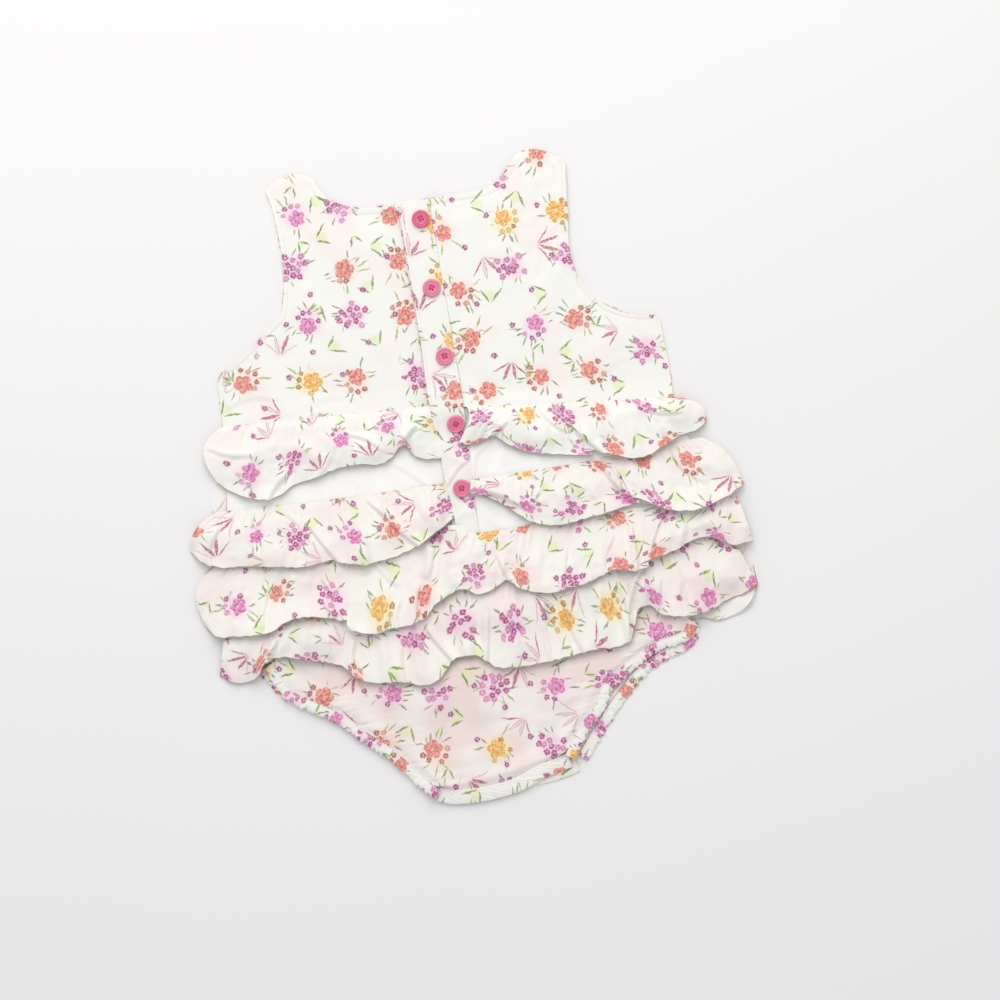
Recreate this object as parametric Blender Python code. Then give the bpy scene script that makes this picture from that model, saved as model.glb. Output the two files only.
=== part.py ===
"""Baby romper laid flat, back side up: sleeveless bodice that buttons down the back, gathered tiers
over the seat, elastic leg openings. Metres, +Z up. The garment's middle runs along Y with the neck
towards +Y, and the front panel lies on the ground. Every cloth piece is a closed wall."""

import math

import bmesh
import bpy
import numpy as np
from mathutils import Matrix

MM = 0.001

# Cloth and clearances, in mm
WALL = 1.0
GAP = 0.35
CASING_WIDTH = 7.0
FRONT_CASING_HEIGHT = 2.2
BACK_CASING_HEIGHT = 3.0
CASING_GATHER = 0.45
CASING_GATHERS = 15
CASING_SIDES = 6
CROTCH_BAND_WIDTH = 9.0

# Buttons, in mm
BUTTON_RADIUS = 5.75
BUTTON_HEIGHT = 2.4
BUTTON_RIM = 1.1
BUTTON_DISH = 0.6
BUTTON_SIDES = 14
HOLE_RADIUS = 0.8
HOLE_OFFSET = 1.5
HOLE_SIDES = 6
BUTTON_PLACES = ((-0.5, 165.2), (-0.5, 120.6), (0.9, 76.3), (1.2, 32.8), (-1.5, -8.5))

# Tiers, in mm
TIER_LENGTH = 46.0
TIER_PUFF = (2.0, 6.0)  # least and most height of the loop of cloth between seam and hem
TIER_ROWS = 4
STEPS_PER_WAVE = 3

# The ground under the pile of cloth, in mm
GRID = 3.0
GRID_HALF = (210.0, 225.0)
SPREAD_CELLS = 2
LAP_CROWDING = 1.5  # columns crowd where the right half laps over the left half
LAP_LIFT = 0.2

PRINTED_COTTON = (0.93, 0.91, 0.89, 1.0)
PLAIN_COTTON = (0.96, 0.96, 0.95, 1.0)
PINK_BUTTON = (0.82, 0.27, 0.36, 1.0)

# Outlines. A section is a straight line across a panel, from its left end to its right end.
# "crown" lifts the middle of the line, for a curved top edge.
#            left x  left y  right x right y  crown
BACK_LEFT_SECTIONS = (
    (-146.0, 54.5, 6.0, 45.5, 0.0),
    (-145.5, 70.0, 6.0, 62.0, 0.0),
    (-145.0, 82.0, 6.0, 78.0, 0.0),
    (-141.5, 88.5, 6.0, 92.0, 0.0),
    (-132.0, 93.5, 6.0, 102.0, 0.0),
    (-120.0, 102.0, 6.0, 112.0, 0.0),
    (-108.0, 111.0, 6.0, 122.0, 0.0),
    (-98.5, 119.0, 6.0, 134.0, 0.0),
    (-94.0, 136.0, 6.0, 148.0, 0.0),
    (-92.0, 155.0, 6.0, 163.0, 0.0),
    (-92.0, 168.0, 6.0, 177.0, 0.0),
    (-92.5, 177.0, -20.0, 178.0, 0.0),
    (-93.0, 183.0, -41.0, 180.0, 0.0),
    (-93.5, 188.0, -53.0, 185.0, 0.5),
    (-94.5, 193.0, -60.0, 192.0, 1.5),
    (-96.0, 199.0, -65.0, 203.0, 6.0),
)
BACK_RIGHT_SECTIONS = (
    (-15.0, 45.0, 141.0, 28.0, 0.0),
    (-14.0, 62.0, 141.5, 50.0, 0.0),
    (-13.5, 78.0, 140.5, 70.0, 0.0),
    (-13.0, 94.0, 139.5, 80.5, 0.0),
    (-13.0, 104.0, 130.0, 83.0, 0.0),
    (-13.0, 112.0, 118.0, 86.5, 0.0),
    (-13.5, 120.0, 106.0, 94.0, 0.0),
    (-14.0, 130.0, 97.0, 105.0, 0.0),
    (-14.0, 142.0, 91.5, 120.0, 0.0),
    (-14.0, 152.0, 90.5, 138.0, 0.0),
    (-14.0, 163.0, 92.0, 148.0, 0.0),
    (-14.0, 171.0, 93.0, 156.0, 0.0),
    (-14.0, 178.0, 93.7, 164.0, 0.0),
    (8.0, 178.2, 94.3, 169.0, 0.0),
    (28.0, 178.5, 94.8, 174.5, 0.0),
    (45.0, 179.3, 95.3, 180.0, 0.0),
    (53.0, 183.5, 96.0, 186.0, 0.5),
    (60.0, 191.0, 95.0, 189.5, 1.5),
    (66.0, 197.5, 90.5, 192.5, 3.5),
)
SEAT_LEFT_SECTIONS = (
    (-144.0, 54.0, 6.0, 45.1, 0.0),
    (-148.0, 25.0, 6.0, 22.0, 0.0),
    (-152.0, 0.0, 6.0, 0.0, 0.0),
    (-156.0, -30.0, 6.0, -30.0, 0.0),
    (-155.0, -60.0, 6.0, -60.0, 0.0),
    (-148.0, -84.0, 6.0, -84.0, 0.0),
)
SEAT_RIGHT_SECTIONS = (
    (-14.0, 44.4, 140.0, 27.6, 0.0),
    (-12.0, 22.0, 142.0, 12.0, 0.0),
    (-12.0, 0.0, 147.0, 0.0, 0.0),
    (-11.0, -30.0, 155.0, -30.0, 0.0),
    (-11.0, -60.0, 160.0, -60.0, 0.0),
    (-11.0, -84.0, 160.0, -84.0, 0.0),
)
BAND_SECTIONS = (
    (-13.5, 177.0, 6.0, 177.2, 0.0),
    (-12.7, 120.0, 7.0, 120.0, 0.0),
    (-13.0, 76.0, 7.5, 76.0, 0.0),
    (-13.5, 46.0, 7.8, 46.0, 0.0),
    (-11.5, 20.0, 7.0, 20.0, 0.0),
    (-11.0, 0.0, 6.0, 0.0, 0.0),
    (-9.0, -25.0, 5.0, -25.0, 0.0),
    (-9.5, -47.0, 5.0, -47.0, 0.0),
)
# The stretches of the front panel's edge, clockwise from the left leg. Its leg and crotch edges
# follow the casings and the crotch band.
#    x       y
FRONT_LEFT_SIDE = (
    (-153.0, -93.0), (-160.0, -80.0), (-165.0, -52.0), (-163.5, -20.0), (-160.0, 12.0),
    (-151.0, 45.0), (-146.0, 75.0),
)
FRONT_LEFT_ARMHOLE = (
    (-141.0, 86.0), (-122.0, 99.0), (-104.0, 113.0), (-97.0, 126.0), (-93.5, 150.0), (-95.5, 198.0),
)
FRONT_NECK = (
    (-74.0, 204.0), (-64.0, 190.0), (-48.0, 165.0), (-24.0, 156.0), (2.0, 154.0), (28.0, 157.0),
    (52.0, 167.0), (64.0, 186.0), (74.0, 197.0),
)
FRONT_RIGHT_ARMHOLE = (
    (94.0, 187.0), (91.0, 148.0), (90.5, 132.0), (93.0, 114.0), (101.0, 100.5), (124.0, 84.0),
    (139.0, 76.0),
)
FRONT_RIGHT_SIDE = (
    (142.5, 40.0), (146.0, 20.0), (152.0, 0.0), (160.0, -22.0), (170.0, -60.0), (176.0, -92.0),
    (173.0, -105.0), (164.0, -114.0), (149.0, -118.0), (138.0, -115.0),
)

# Outer edges of the leg openings, from the side seam to the crotch
BACK_LEG_LEFT = (
    (-145.0, -103.0), (-140.0, -113.0), (-134.0, -124.0), (-120.0, -134.0), (-104.0, -144.5),
    (-91.0, -157.5), (-75.0, -172.0), (-62.0, -188.0), (-50.0, -201.5),
)
BACK_LEG_RIGHT = (
    (134.0, -117.0), (127.0, -127.0), (110.0, -130.0), (97.0, -135.5), (84.0, -143.5),
    (73.0, -151.0), (66.0, -163.0), (53.0, -176.0), (43.0, -190.5),
)
FRONT_LEG_LEFT = (
    (-152.0, -99.0), (-137.0, -121.0), (-117.0, -132.5), (-100.0, -144.0), (-87.0, -158.0),
    (-72.0, -172.0), (-58.0, -190.0),
)
FRONT_LEG_RIGHT = (
    (136.0, -119.0), (128.0, -131.5), (109.0, -138.0), (96.0, -145.0), (83.0, -156.5),
    (70.0, -170.0), (60.0, -182.0), (51.0, -193.0),
)
# Lower edges of the crotch bands, from left to right
BACK_CROTCH = ((-48.0, -203.5), (-37.0, -207.0), (-17.0, -208.0), (4.0, -205.5), (22.0, -199.5), (40.5, -195.0))
FRONT_CROTCH = ((-54.0, -197.0), (-30.0, -203.0), (0.0, -202.5), (20.0, -203.0), (36.0, -201.0), (45.0, -198.5))

# Waves of each tier, from its left end to its right end: where the hem reaches, and how far it
# stands above what it lies on. Where two are close and the lift jumps, the cloth is folded.
#   hem x   hem y   lift
TIER_1_LEFT = (
    (-155.0, 19.0, 2.5), (-147.0, 12.0, 4.0), (-137.0, 6.5, 6.0), (-126.0, 3.5, 4.0),
    (-116.0, 5.0, 2.0), (-107.0, 10.0, 2.5), (-92.0, 12.5, 5.0), (-78.0, 16.0, 6.5),
    (-63.0, 16.5, 6.0), (-51.0, 14.5, 4.0), (-42.0, 18.0, 4.5), (-34.0, 24.5, 6.0),
    (-28.0, 16.5, 2.5), (-21.0, 13.0, 3.0), (-13.5, 12.5, 2.0),
)
TIER_1_RIGHT = (
    (0.5, 19.5, 1.0), (9.0, 18.0, 3.0), (17.0, 19.5, 3.0), (24.0, 21.0, 5.0), (33.0, 13.5, 6.0),
    (44.0, 7.5, 6.5), (58.0, 4.0, 5.0), (70.0, 1.5, 2.5), (82.0, -1.0, 1.0), (85.0, 1.0, 4.0),
    (89.0, 1.5, 6.5), (98.0, -3.0, 6.0), (110.0, -7.0, 6.0), (121.0, -6.0, 4.5), (131.0, -1.5, 5.0),
    (142.0, 3.0, 3.5), (152.0, 4.5, 4.0), (159.5, 9.0, 2.0),
)
TIER_2_LEFT = (
    (-179.0, -22.0, 4.0), (-172.0, -30.0, 6.0), (-160.0, -35.0, 4.0), (-148.0, -36.0, 2.5),
    (-136.0, -38.0, 4.0), (-122.0, -40.5, 5.5), (-110.0, -42.5, 4.0), (-100.0, -42.0, 2.5),
    (-91.0, -41.0, 4.0), (-82.0, -44.5, 6.5), (-72.0, -47.5, 7.5), (-62.0, -46.5, 6.0),
    (-52.0, -45.5, 4.0), (-42.0, -43.0, 2.0), (-33.0, -40.0, 1.5), (-26.0, -36.0, 5.0),
    (-18.0, -31.5, 6.5), (-9.0, -26.5, 3.5),
)
TIER_2_RIGHT = (
    (3.0, -12.5, 1.0), (12.0, -16.0, 3.0), (20.0, -21.0, 4.0), (29.0, -28.5, 5.0),
    (38.0, -36.0, 4.5), (49.0, -40.5, 5.0), (61.0, -41.5, 6.0), (73.0, -40.0, 4.5),
    (84.0, -39.0, 4.0), (96.0, -37.0, 2.0), (106.0, -34.5, 1.0), (109.0, -32.5, 4.0),
    (113.0, -34.5, 6.5), (122.0, -41.0, 6.0), (133.0, -44.5, 6.5), (144.0, -45.5, 5.5),
    (155.0, -43.0, 3.5), (166.0, -39.5, 4.5), (177.0, -34.0, 3.0),
)
TIER_3 = (
    (-176.5, -71.0, 4.0), (-170.0, -78.0, 5.5), (-158.0, -79.5, 3.5), (-146.0, -80.5, 2.5),
    (-135.0, -80.0, 4.0), (-124.0, -75.0, 6.0), (-113.0, -74.0, 4.0), (-102.0, -76.0, 2.5),
    (-92.0, -79.0, 1.2), (-86.0, -81.0, 1.0), (-83.5, -84.0, 4.0), (-79.5, -89.0, 6.5),
    (-69.0, -91.5, 6.5), (-59.0, -89.5, 4.0), (-51.0, -90.0, 3.0), (-43.0, -88.5, 3.0),
    (-36.0, -86.0, 3.5), (-30.0, -79.5, 7.0), (-20.0, -74.5, 7.5), (-11.0, -72.0, 5.5),
    (-2.0, -77.0, 3.0), (8.0, -75.5, 3.5), (18.0, -71.0, 6.0), (26.0, -78.0, 4.0),
    (37.0, -82.0, 5.0), (48.0, -83.5, 3.5), (56.0, -81.5, 3.0), (66.0, -81.5, 5.0),
    (76.0, -78.0, 5.0), (87.0, -75.0, 3.5), (98.0, -77.5, 1.5), (105.0, -76.5, 1.0),
    (108.0, -74.5, 4.0), (112.0, -72.0, 6.5), (126.0, -69.0, 6.0), (138.0, -64.5, 4.5),
    (150.0, -64.0, 6.5), (163.0, -70.0, 3.0), (177.0, -68.0, 5.0),
)
TIER_4 = (
    (-173.0, -103.0, 4.0), (-165.0, -108.5, 3.0), (-155.0, -109.5, 2.5), (-148.0, -106.5, 3.0),
    (-142.0, -99.0, 7.0), (-131.0, -97.0, 9.0), (-118.0, -101.0, 8.5), (-105.0, -105.0, 8.0),
    (-94.0, -109.0, 6.5), (-87.0, -117.0, 7.0), (-77.0, -122.0, 8.5), (-66.0, -123.5, 8.0),
    (-56.0, -125.0, 7.0), (-47.0, -128.5, 7.0), (-37.0, -128.0, 5.0), (-30.0, -122.5, 3.0),
    (-24.0, -116.0, 3.0), (-17.0, -114.5, 6.0), (-10.0, -115.0, 4.5), (-4.0, -119.0, 3.0),
    (3.0, -125.0, 6.0), (14.0, -126.5, 7.5), (27.0, -127.0, 7.0), (40.0, -126.0, 7.5),
    (52.0, -125.0, 6.5), (65.0, -123.5, 6.0), (78.0, -124.0, 5.0), (89.0, -121.5, 3.5),
    (94.0, -112.0, 4.5), (98.0, -102.5, 6.0), (105.0, -101.0, 6.5), (111.0, -107.0, 5.0),
    (120.0, -110.5, 6.0), (132.0, -111.5, 6.0), (144.0, -110.0, 5.0), (155.0, -105.5, 4.0),
    (166.0, -103.0, 4.0), (176.0, -98.0, 3.0),
)

TIER_3_SEAM = ((-165.0, -33.0), (-20.0, -30.0), (5.0, -38.0), (60.0, -38.0), (170.0, -38.0))

# Every tier: its waves, its seam line from left to right, and how far its two ends bow outwards.
TIERS = (
    ("ruffle_4", TIER_4, ((-163.0, -70.0), (0.0, -66.0), (157.0, -58.0)), 0.0, 4.0),
    ("ruffle_3", TIER_3, TIER_3_SEAM, 9.0, 3.0),
    ("ruffle_2_left", TIER_2_LEFT, ((-156.0, 1.0), (-80.0, -2.5), (-13.0, -3.5)), 7.0, 1.0),
    ("ruffle_1_left", TIER_1_LEFT, ((-145.0, 53.9), (-80.0, 50.1), (-15.0, 46.2)), 11.0, 0.0),
    ("ruffle_2_right", TIER_2_RIGHT, ((5.5, -4.0), (80.0, -4.0), (155.0, 0.0)), 0.0, 5.0),
    ("ruffle_1_right", TIER_1_RIGHT, ((9.5, 42.3), (80.0, 34.8), (139.5, 28.2)), -4.0, 8.0),
)

# Soft ridges of the printed seat below the tiers: the two ends of each ridge, its half width and
# its height. A negative height is a trough.
#    x      y       x      y      half  height
SEAT_FOLDS = (
    (-95.0, -118.0, -30.0, -150.0, 22.0, 4.0),
    (-20.0, -112.0, -8.0, -160.0, 14.0, 4.5),
    (-60.0, -172.0, 10.0, -180.0, 16.0, 3.0),
    (8.0, -128.0, 14.0, -160.0, 7.0, -2.0),
    (45.0, -130.0, 30.0, -172.0, 14.0, 4.0),
    (80.0, -112.0, 62.0, -140.0, 13.0, 3.0),
)


def clear_scene():
    for item in list(bpy.data.objects):
        bpy.data.objects.remove(item, do_unlink=True)


def cloth(name, colour, roughness=0.9):
    """A Principled material in one colour."""
    material = bpy.data.materials.new(name)
    material.use_nodes = True
    shader = material.node_tree.nodes["Principled BSDF"]
    shader.inputs["Base Color"].default_value = colour
    shader.inputs["Roughness"].default_value = roughness
    shader.inputs["Metallic"].default_value = 0.0
    return material


class Pile:
    """The height of all that lies so far, on a square grid, so that the next piece lies on it."""

    def __init__(self):
        columns, rows = (int(2 * half / GRID) + 1 for half in GRID_HALF)
        self.top = np.zeros((columns, rows))
        self.smoothed = self.top

    def lay(self, points):
        """Adds a grid of points (mm)."""
        steps = np.linspace(0.0, 1.0, 5)
        corners = (points[:-1, :-1], points[1:, :-1], points[:-1, 1:], points[1:, 1:])
        for s in steps:
            for t in steps:
                weights = ((1 - s) * (1 - t), s * (1 - t), (1 - s) * t, s * t)
                inside = sum(w * c for w, c in zip(weights, corners)).reshape(-1, 3)
                i, j = (np.rint((inside[:, k] + GRID_HALF[k]) / GRID).astype(int) for k in (0, 1))
                np.maximum.at(self.top, (i, j), inside[:, 2])
        self.settle()

    def settle(self):
        """Spreads the heights sideways, then evens them out: cloth doesn't bend sharply."""
        reach = range(-SPREAD_CELLS, SPREAD_CELLS + 1)
        shifts = [(i, j) for i in reach for j in reach]
        spread = np.max([np.roll(self.top, shift, (0, 1)) for shift in shifts], axis=0)
        self.smoothed = np.mean([np.roll(spread, shift, (0, 1)) for shift in shifts], axis=0)

    def lay_outline(self, outline, height):
        """Adds all that lies inside an outline (mm), up to one height."""
        columns, rows = self.top.shape
        x = (np.arange(columns) * GRID - GRID_HALF[0])[:, None]
        y = (np.arange(rows) * GRID - GRID_HALF[1])[None, :]
        inside = np.zeros((columns, rows), bool)
        for (x0, y0), (x1, y1) in zip(outline, np.roll(outline, -1, axis=0)):
            if y0 != y1:
                inside ^= ((y0 > y) != (y1 > y)) & (x < (x1 - x0) * (y - y0) / (y1 - y0) + x0)
        self.top[inside] = np.maximum(self.top[inside], height)
        self.settle()

    def rest(self, x, y):
        """The height that cloth at x, y lies on: never less than what is there."""
        i, j = (x + GRID_HALF[0]) / GRID, (y + GRID_HALF[1]) / GRID
        low_i, low_j = np.floor(i).astype(int), np.floor(j).astype(int)
        s, t = i - low_i, j - low_j
        return (
            self.smoothed[low_i, low_j] * (1 - s) * (1 - t)
            + self.smoothed[low_i + 1, low_j] * s * (1 - t)
            + self.smoothed[low_i, low_j + 1] * (1 - s) * t
            + self.smoothed[low_i + 1, low_j + 1] * s * t
        )


def through(points, steps):
    """A smooth line through points, with the same number of steps between each two."""
    p = np.array(points, float)
    ends = np.vstack([2 * p[0] - p[1], p, 2 * p[-1] - p[-2]])
    out = []
    for a, b, c, d in zip(ends[:-3], ends[1:-2], ends[2:-1], ends[3:]):
        for t in np.arange(steps) / steps:
            bend = 2 * a - 5 * b + 4 * c - d
            twist = 3 * b - a - 3 * c + d
            out.append(0.5 * (2 * b + (c - a) * t + bend * t**2 + twist * t**3))
    return np.array(out + [p[-1]])


def evenly(line, count):
    """The same line with count points, the same distance apart."""
    gaps = np.linalg.norm(np.diff(line, axis=0), axis=1)
    along = np.concatenate([[0.0], np.cumsum(gaps)])
    at = np.linspace(0.0, along[-1], count)
    return np.stack([np.interp(at, along, line[:, k]) for k in range(line.shape[1])], axis=1)


def sideways(line, distance):
    """The line moved to its left, as it runs, by distance."""
    along = np.gradient(line, axis=0)
    along /= np.linalg.norm(along, axis=1)[:, None]
    return line + distance * np.stack([-along[:, 1], along[:, 0]], axis=1)


def walled(mesh, material):
    """The object of a one-sided mesh, made a closed cloth wall with Solidify."""
    mesh.shade_smooth()
    mesh.materials.append(material)
    piece = bpy.data.objects.new(mesh.name, mesh)
    bpy.context.scene.collection.objects.link(piece)
    solidify = piece.modifiers.new("cloth wall", "SOLIDIFY")
    solidify.thickness = WALL * MM
    solidify.offset = 0.0
    return piece


def wall_object(name, points, material):
    """A closed cloth wall round a grid of middle points in mm."""
    rows, columns = points.shape[:2]
    number = np.arange(rows * columns).reshape(rows, columns)
    faces = np.stack([number[:-1, :-1], number[:-1, 1:], number[1:, 1:], number[1:, :-1]], axis=2)
    mesh = bpy.data.meshes.new(name)
    mesh.from_pydata((points.reshape(-1, 3) * MM).tolist(), [], faces.reshape(-1, 4).tolist())
    mesh.validate()
    return walled(mesh, material)


def across(sections, columns, rows_between, crowding=1.0):
    """The flat grid of a panel from its sections. Crowding over 1 packs columns at the left end."""
    table = through([row[:4] for row in sections], rows_between)
    crown = through([[row[4]] for row in sections], rows_between)
    s = np.linspace(0.0, 1.0, columns)[None, :] ** crowding
    x = table[:, [0]] * (1 - s) + table[:, [2]] * s
    y = table[:, [1]] * (1 - s) + table[:, [3]] * s + 4 * crown * s * (1 - s)
    return np.stack([x, y], axis=2)


def lay_panel(pile, name, flat, material, own=0.0):
    """Lays a flat grid on the pile, own mm higher than it must lie, and makes its wall."""
    z = pile.rest(flat[..., 0], flat[..., 1]) + GAP + WALL / 2 + own
    return lay_wall(pile, name, np.dstack([flat, z]), material)


def lay_wall(pile, name, points, material):
    pile.lay(points + np.array([0.0, 0.0, WALL / 2]))
    return wall_object(name, points, material)


def ridges(x, y, folds):
    """The height that soft folds add at x, y."""
    z = np.zeros_like(x)
    for x0, y0, x1, y1, half, height in folds:
        along = np.array([x1 - x0, y1 - y0])
        t = ((x - x0) * along[0] + (y - y0) * along[1]) / (along @ along)
        off = np.hypot(x - x0 - np.clip(t, 0, 1) * along[0], y - y0 - np.clip(t, 0, 1) * along[1])
        z += height * np.exp(-((off / half) ** 2))
    return z


def tier_points(waves, seam, left_bow, right_bow, rows, steps):
    """The middle surface of a gathered tier before it lies on anything: z is its own height."""
    hem = through(waves, steps)
    count = len(hem)
    top = evenly(through(seam, 8), count)
    s = np.linspace(0.0, 1.0, count)[:, None]
    t = np.linspace(0.0, 1.0, rows + 1)[None, :]
    reach = t**0.85
    x = top[:, [0]] * (1 - reach) + hem[:, [0]] * reach
    y = top[:, [1]] * (1 - t) + hem[:, [1]] * t
    drop = np.hypot(hem[:, 0] - top[:, 0], hem[:, 1] - top[:, 1])
    slack = np.sqrt(np.clip(TIER_LENGTH**2 - drop**2, 0.0, None))
    puff = np.clip(0.17 * slack, *TIER_PUFF)[:, None]
    z = hem[:, [2]] * np.sin(0.5 * math.pi * t) ** 1.2 + puff * np.sin(math.pi * t) ** 1.3
    end = np.clip(1 - s / 0.15, 0, 1) ** 2 * -left_bow + np.clip(1 - (1 - s) / 0.15, 0, 1) ** 2 * right_bow
    x = x + end * np.sin(math.pi * t)
    return np.dstack([x, y, z])


def tier(pile, name, waves, seam, left_bow, right_bow, material):
    points = tier_points(waves, seam, left_bow, right_bow, TIER_ROWS, STEPS_PER_WAVE)
    points[..., 2] += pile.rest(points[..., 0], points[..., 1]) + GAP + WALL / 2
    pile.lay(points + np.array([0.0, 0.0, WALL / 2]))
    return wall_object(name, points[:, ::-1], material)


def casing(pile, name, edge, height, inward, material, on_ground=False):
    """A gathered elastic casing along an edge line: a flat tube whose width and height ripple."""
    count, sides = 2 * CASING_GATHERS + 1, CASING_SIDES
    middle = evenly(sideways(through(edge, 8), inward * CASING_WIDTH / 2), count)
    across_x = sideways(middle, 1.0) - middle
    z = np.zeros(count) if on_ground else pile.rest(middle[:, 0], middle[:, 1]) + GAP
    ripple = CASING_GATHER * (np.arange(count) % 2)
    rings = []
    for k in range(sides):
        angle = 2 * math.pi * k / sides
        out = (CASING_WIDTH / 2 - ripple) * math.cos(angle)
        up = (height / 2 - ripple / 2) * math.sin(angle)
        ring = middle + across_x * out[:, None]
        rings.append(np.column_stack([ring, z + height / 2 + up]))
    points = np.stack(rings, axis=1)
    pile.lay(points)
    return tube_object(name, points, material)


def tube_object(name, rings, material):
    """A closed tube through rings of points in mm."""
    count, sides = rings.shape[:2]
    shape = bmesh.new()
    verts = [[shape.verts.new(point * MM) for point in ring] for ring in rings]
    for first, second in zip(verts[:-1], verts[1:]):
        for k in range(sides):
            nxt = (k + 1) % sides
            shape.faces.new((first[k], first[nxt], second[nxt], second[k]))
    shape.faces.new(verts[0])
    shape.faces.new(verts[-1])
    bmesh.ops.recalc_face_normals(shape, faces=shape.faces)
    mesh = bpy.data.meshes.new(name)
    shape.to_mesh(mesh)
    shape.free()
    mesh.shade_smooth()
    mesh.set_sharp_from_angle(angle=math.radians(60))
    mesh.materials.append(material)
    piece = bpy.data.objects.new(name, mesh)
    bpy.context.scene.collection.objects.link(piece)
    return piece


def button_mesh(material):
    """A turned button with a raised rim, a shallow dish and four holes. Its underside is at z = 0."""
    profile = (
        (0.0, 0.0),
        (BUTTON_RADIUS - 0.6, 0.0),
        (BUTTON_RADIUS, 0.7),
        (BUTTON_RADIUS, BUTTON_HEIGHT - 0.6),
        (BUTTON_RADIUS - BUTTON_RIM / 2, BUTTON_HEIGHT),
        (BUTTON_RADIUS - 1.6 * BUTTON_RIM, BUTTON_HEIGHT - BUTTON_DISH),
        (0.0, BUTTON_HEIGHT - BUTTON_DISH),
    )
    shape = bmesh.new()
    verts = [shape.verts.new((r * MM, 0.0, z * MM)) for r, z in profile]
    edges = [shape.edges.new(pair) for pair in zip(verts[:-1], verts[1:])]
    bmesh.ops.spin(
        shape, geom=verts + edges, cent=(0, 0, 0), axis=(0, 0, 1), angle=2 * math.pi,
        steps=BUTTON_SIDES, use_merge=True,
    )
    bmesh.ops.remove_doubles(shape, verts=shape.verts, dist=0.01 * MM)
    bmesh.ops.recalc_face_normals(shape, faces=shape.faces)
    mesh = bpy.data.meshes.new("button")
    shape.to_mesh(mesh)
    shape.free()
    mesh.materials.append(material)
    return mesh


def hole_cutter():
    """Four pins that cut a button's holes. A guide, so it isn't part of the romper."""
    shape = bmesh.new()
    for k in range(4):
        angle = math.pi / 4 + k * math.pi / 2
        place = Matrix.Translation(
            (HOLE_OFFSET * math.cos(angle) * MM, HOLE_OFFSET * math.sin(angle) * MM, 0.0)
        )
        bmesh.ops.create_cone(
            shape, cap_ends=True, segments=HOLE_SIDES, radius1=HOLE_RADIUS * MM, radius2=HOLE_RADIUS * MM,
            depth=4 * BUTTON_HEIGHT * MM, matrix=place,
        )
    mesh = bpy.data.meshes.new("button_holes")
    shape.to_mesh(mesh)
    shape.free()
    cutter = bpy.data.objects.new("button_holes", mesh)
    bpy.context.scene.collection.objects.link(cutter)
    cutter.hide_render = True
    cutter.display_type = "WIRE"
    return cutter


def buttons(pile, material):
    """The buttons, each with its own cutter's holes, on the button band."""
    mesh = button_mesh(material)
    for number, (x, y) in enumerate(BUTTON_PLACES, 1):
        z = float(pile.rest(np.array([x]), np.array([y]))[0]) + GAP
        button = bpy.data.objects.new(f"button_{number}", mesh)
        button.location = (x * MM, y * MM, z * MM)
        bpy.context.scene.collection.objects.link(button)
        cutter = hole_cutter()
        cutter.location = button.location
        cut = button.modifiers.new("holes", "BOOLEAN")
        cut.object = cutter
    # The lowest button lies under the corner of a tier, so its top joins the pile.
    ring = np.array([[x + dx, y + dy, z + BUTTON_HEIGHT] for dx in (-4, 0, 4) for dy in (-4, 0, 4)])
    return ring.reshape(3, 3, 3)


def front_panel(pile, material):
    """The front, flat on the ground, in one piece from the shoulders to the crotch."""
    inset = CASING_WIDTH + GAP
    outline = np.vstack([
        through(FRONT_LEFT_SIDE, 3),
        through(FRONT_LEFT_ARMHOLE, 3),
        through(FRONT_NECK, 3),
        through(FRONT_RIGHT_ARMHOLE, 3),
        through(FRONT_RIGHT_SIDE, 3),
        sideways(through(FRONT_LEG_RIGHT, 3), -inset),
        sideways(through(FRONT_CROTCH, 3), CROTCH_BAND_WIDTH + GAP)[::-1],
        sideways(through(FRONT_LEG_LEFT, 3), inset)[::-1],
    ])
    pile.lay_outline(outline, WALL)
    outline = np.column_stack([outline, np.full(len(outline), WALL / 2)])
    shape = bmesh.new()
    verts = [shape.verts.new(point * MM) for point in outline]
    edges = [shape.edges.new(pair) for pair in zip(verts, verts[1:] + verts[:1])]
    bmesh.ops.triangle_fill(shape, edges=edges, use_beauty=True, normal=(0.0, 0.0, 1.0))
    mesh = bpy.data.meshes.new("front_panel")
    shape.to_mesh(mesh)
    shape.free()
    return walled(mesh, material)


def crotch_band(pile, name, edge, material, on_ground=False):
    """A flat hem band above its lower edge line."""
    low = evenly(through(edge, 6), 17)
    high = sideways(low, CROTCH_BAND_WIDTH)
    t = np.linspace(0.0, 1.0, 3)[None, :, None]
    flat = low[:, None, :] * (1 - t) + high[:, None, :] * t
    if on_ground:
        return lay_wall(pile, name, np.dstack([flat, np.full(flat.shape[:2], WALL / 2)]), material)
    return lay_panel(pile, name, flat, material)


def seat_panel(pile, material):
    """The printed seat between the tiers and the crotch, from leg casing to leg casing."""
    inset = CASING_WIDTH + GAP
    left = evenly(sideways(through(BACK_LEG_LEFT, 8), inset), 14)
    right = evenly(sideways(through(BACK_LEG_RIGHT, 8), -inset), 14)
    crotch = sideways(evenly(through(BACK_CROTCH, 6), 25), CROTCH_BAND_WIDTH + GAP)
    left = np.vstack([[-146.0, -86.0], left[:-1], crotch[2]])
    right = np.vstack([[158.0, -86.0], right[:-1], crotch[-2]])
    s = np.linspace(0.0, 1.0, 19)[None, :, None]
    flat = left[:, None, :] * (1 - s) + right[:, None, :] * s
    own = ridges(flat[..., 0], flat[..., 1], SEAT_FOLDS)
    edge = np.minimum(s[..., 0], 1 - s[..., 0]) * 8
    own = np.clip(own, 0.0, None) * np.clip(edge, 0.0, 1.0)
    return lay_panel(pile, "seat_lower", flat, material, own)


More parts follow.
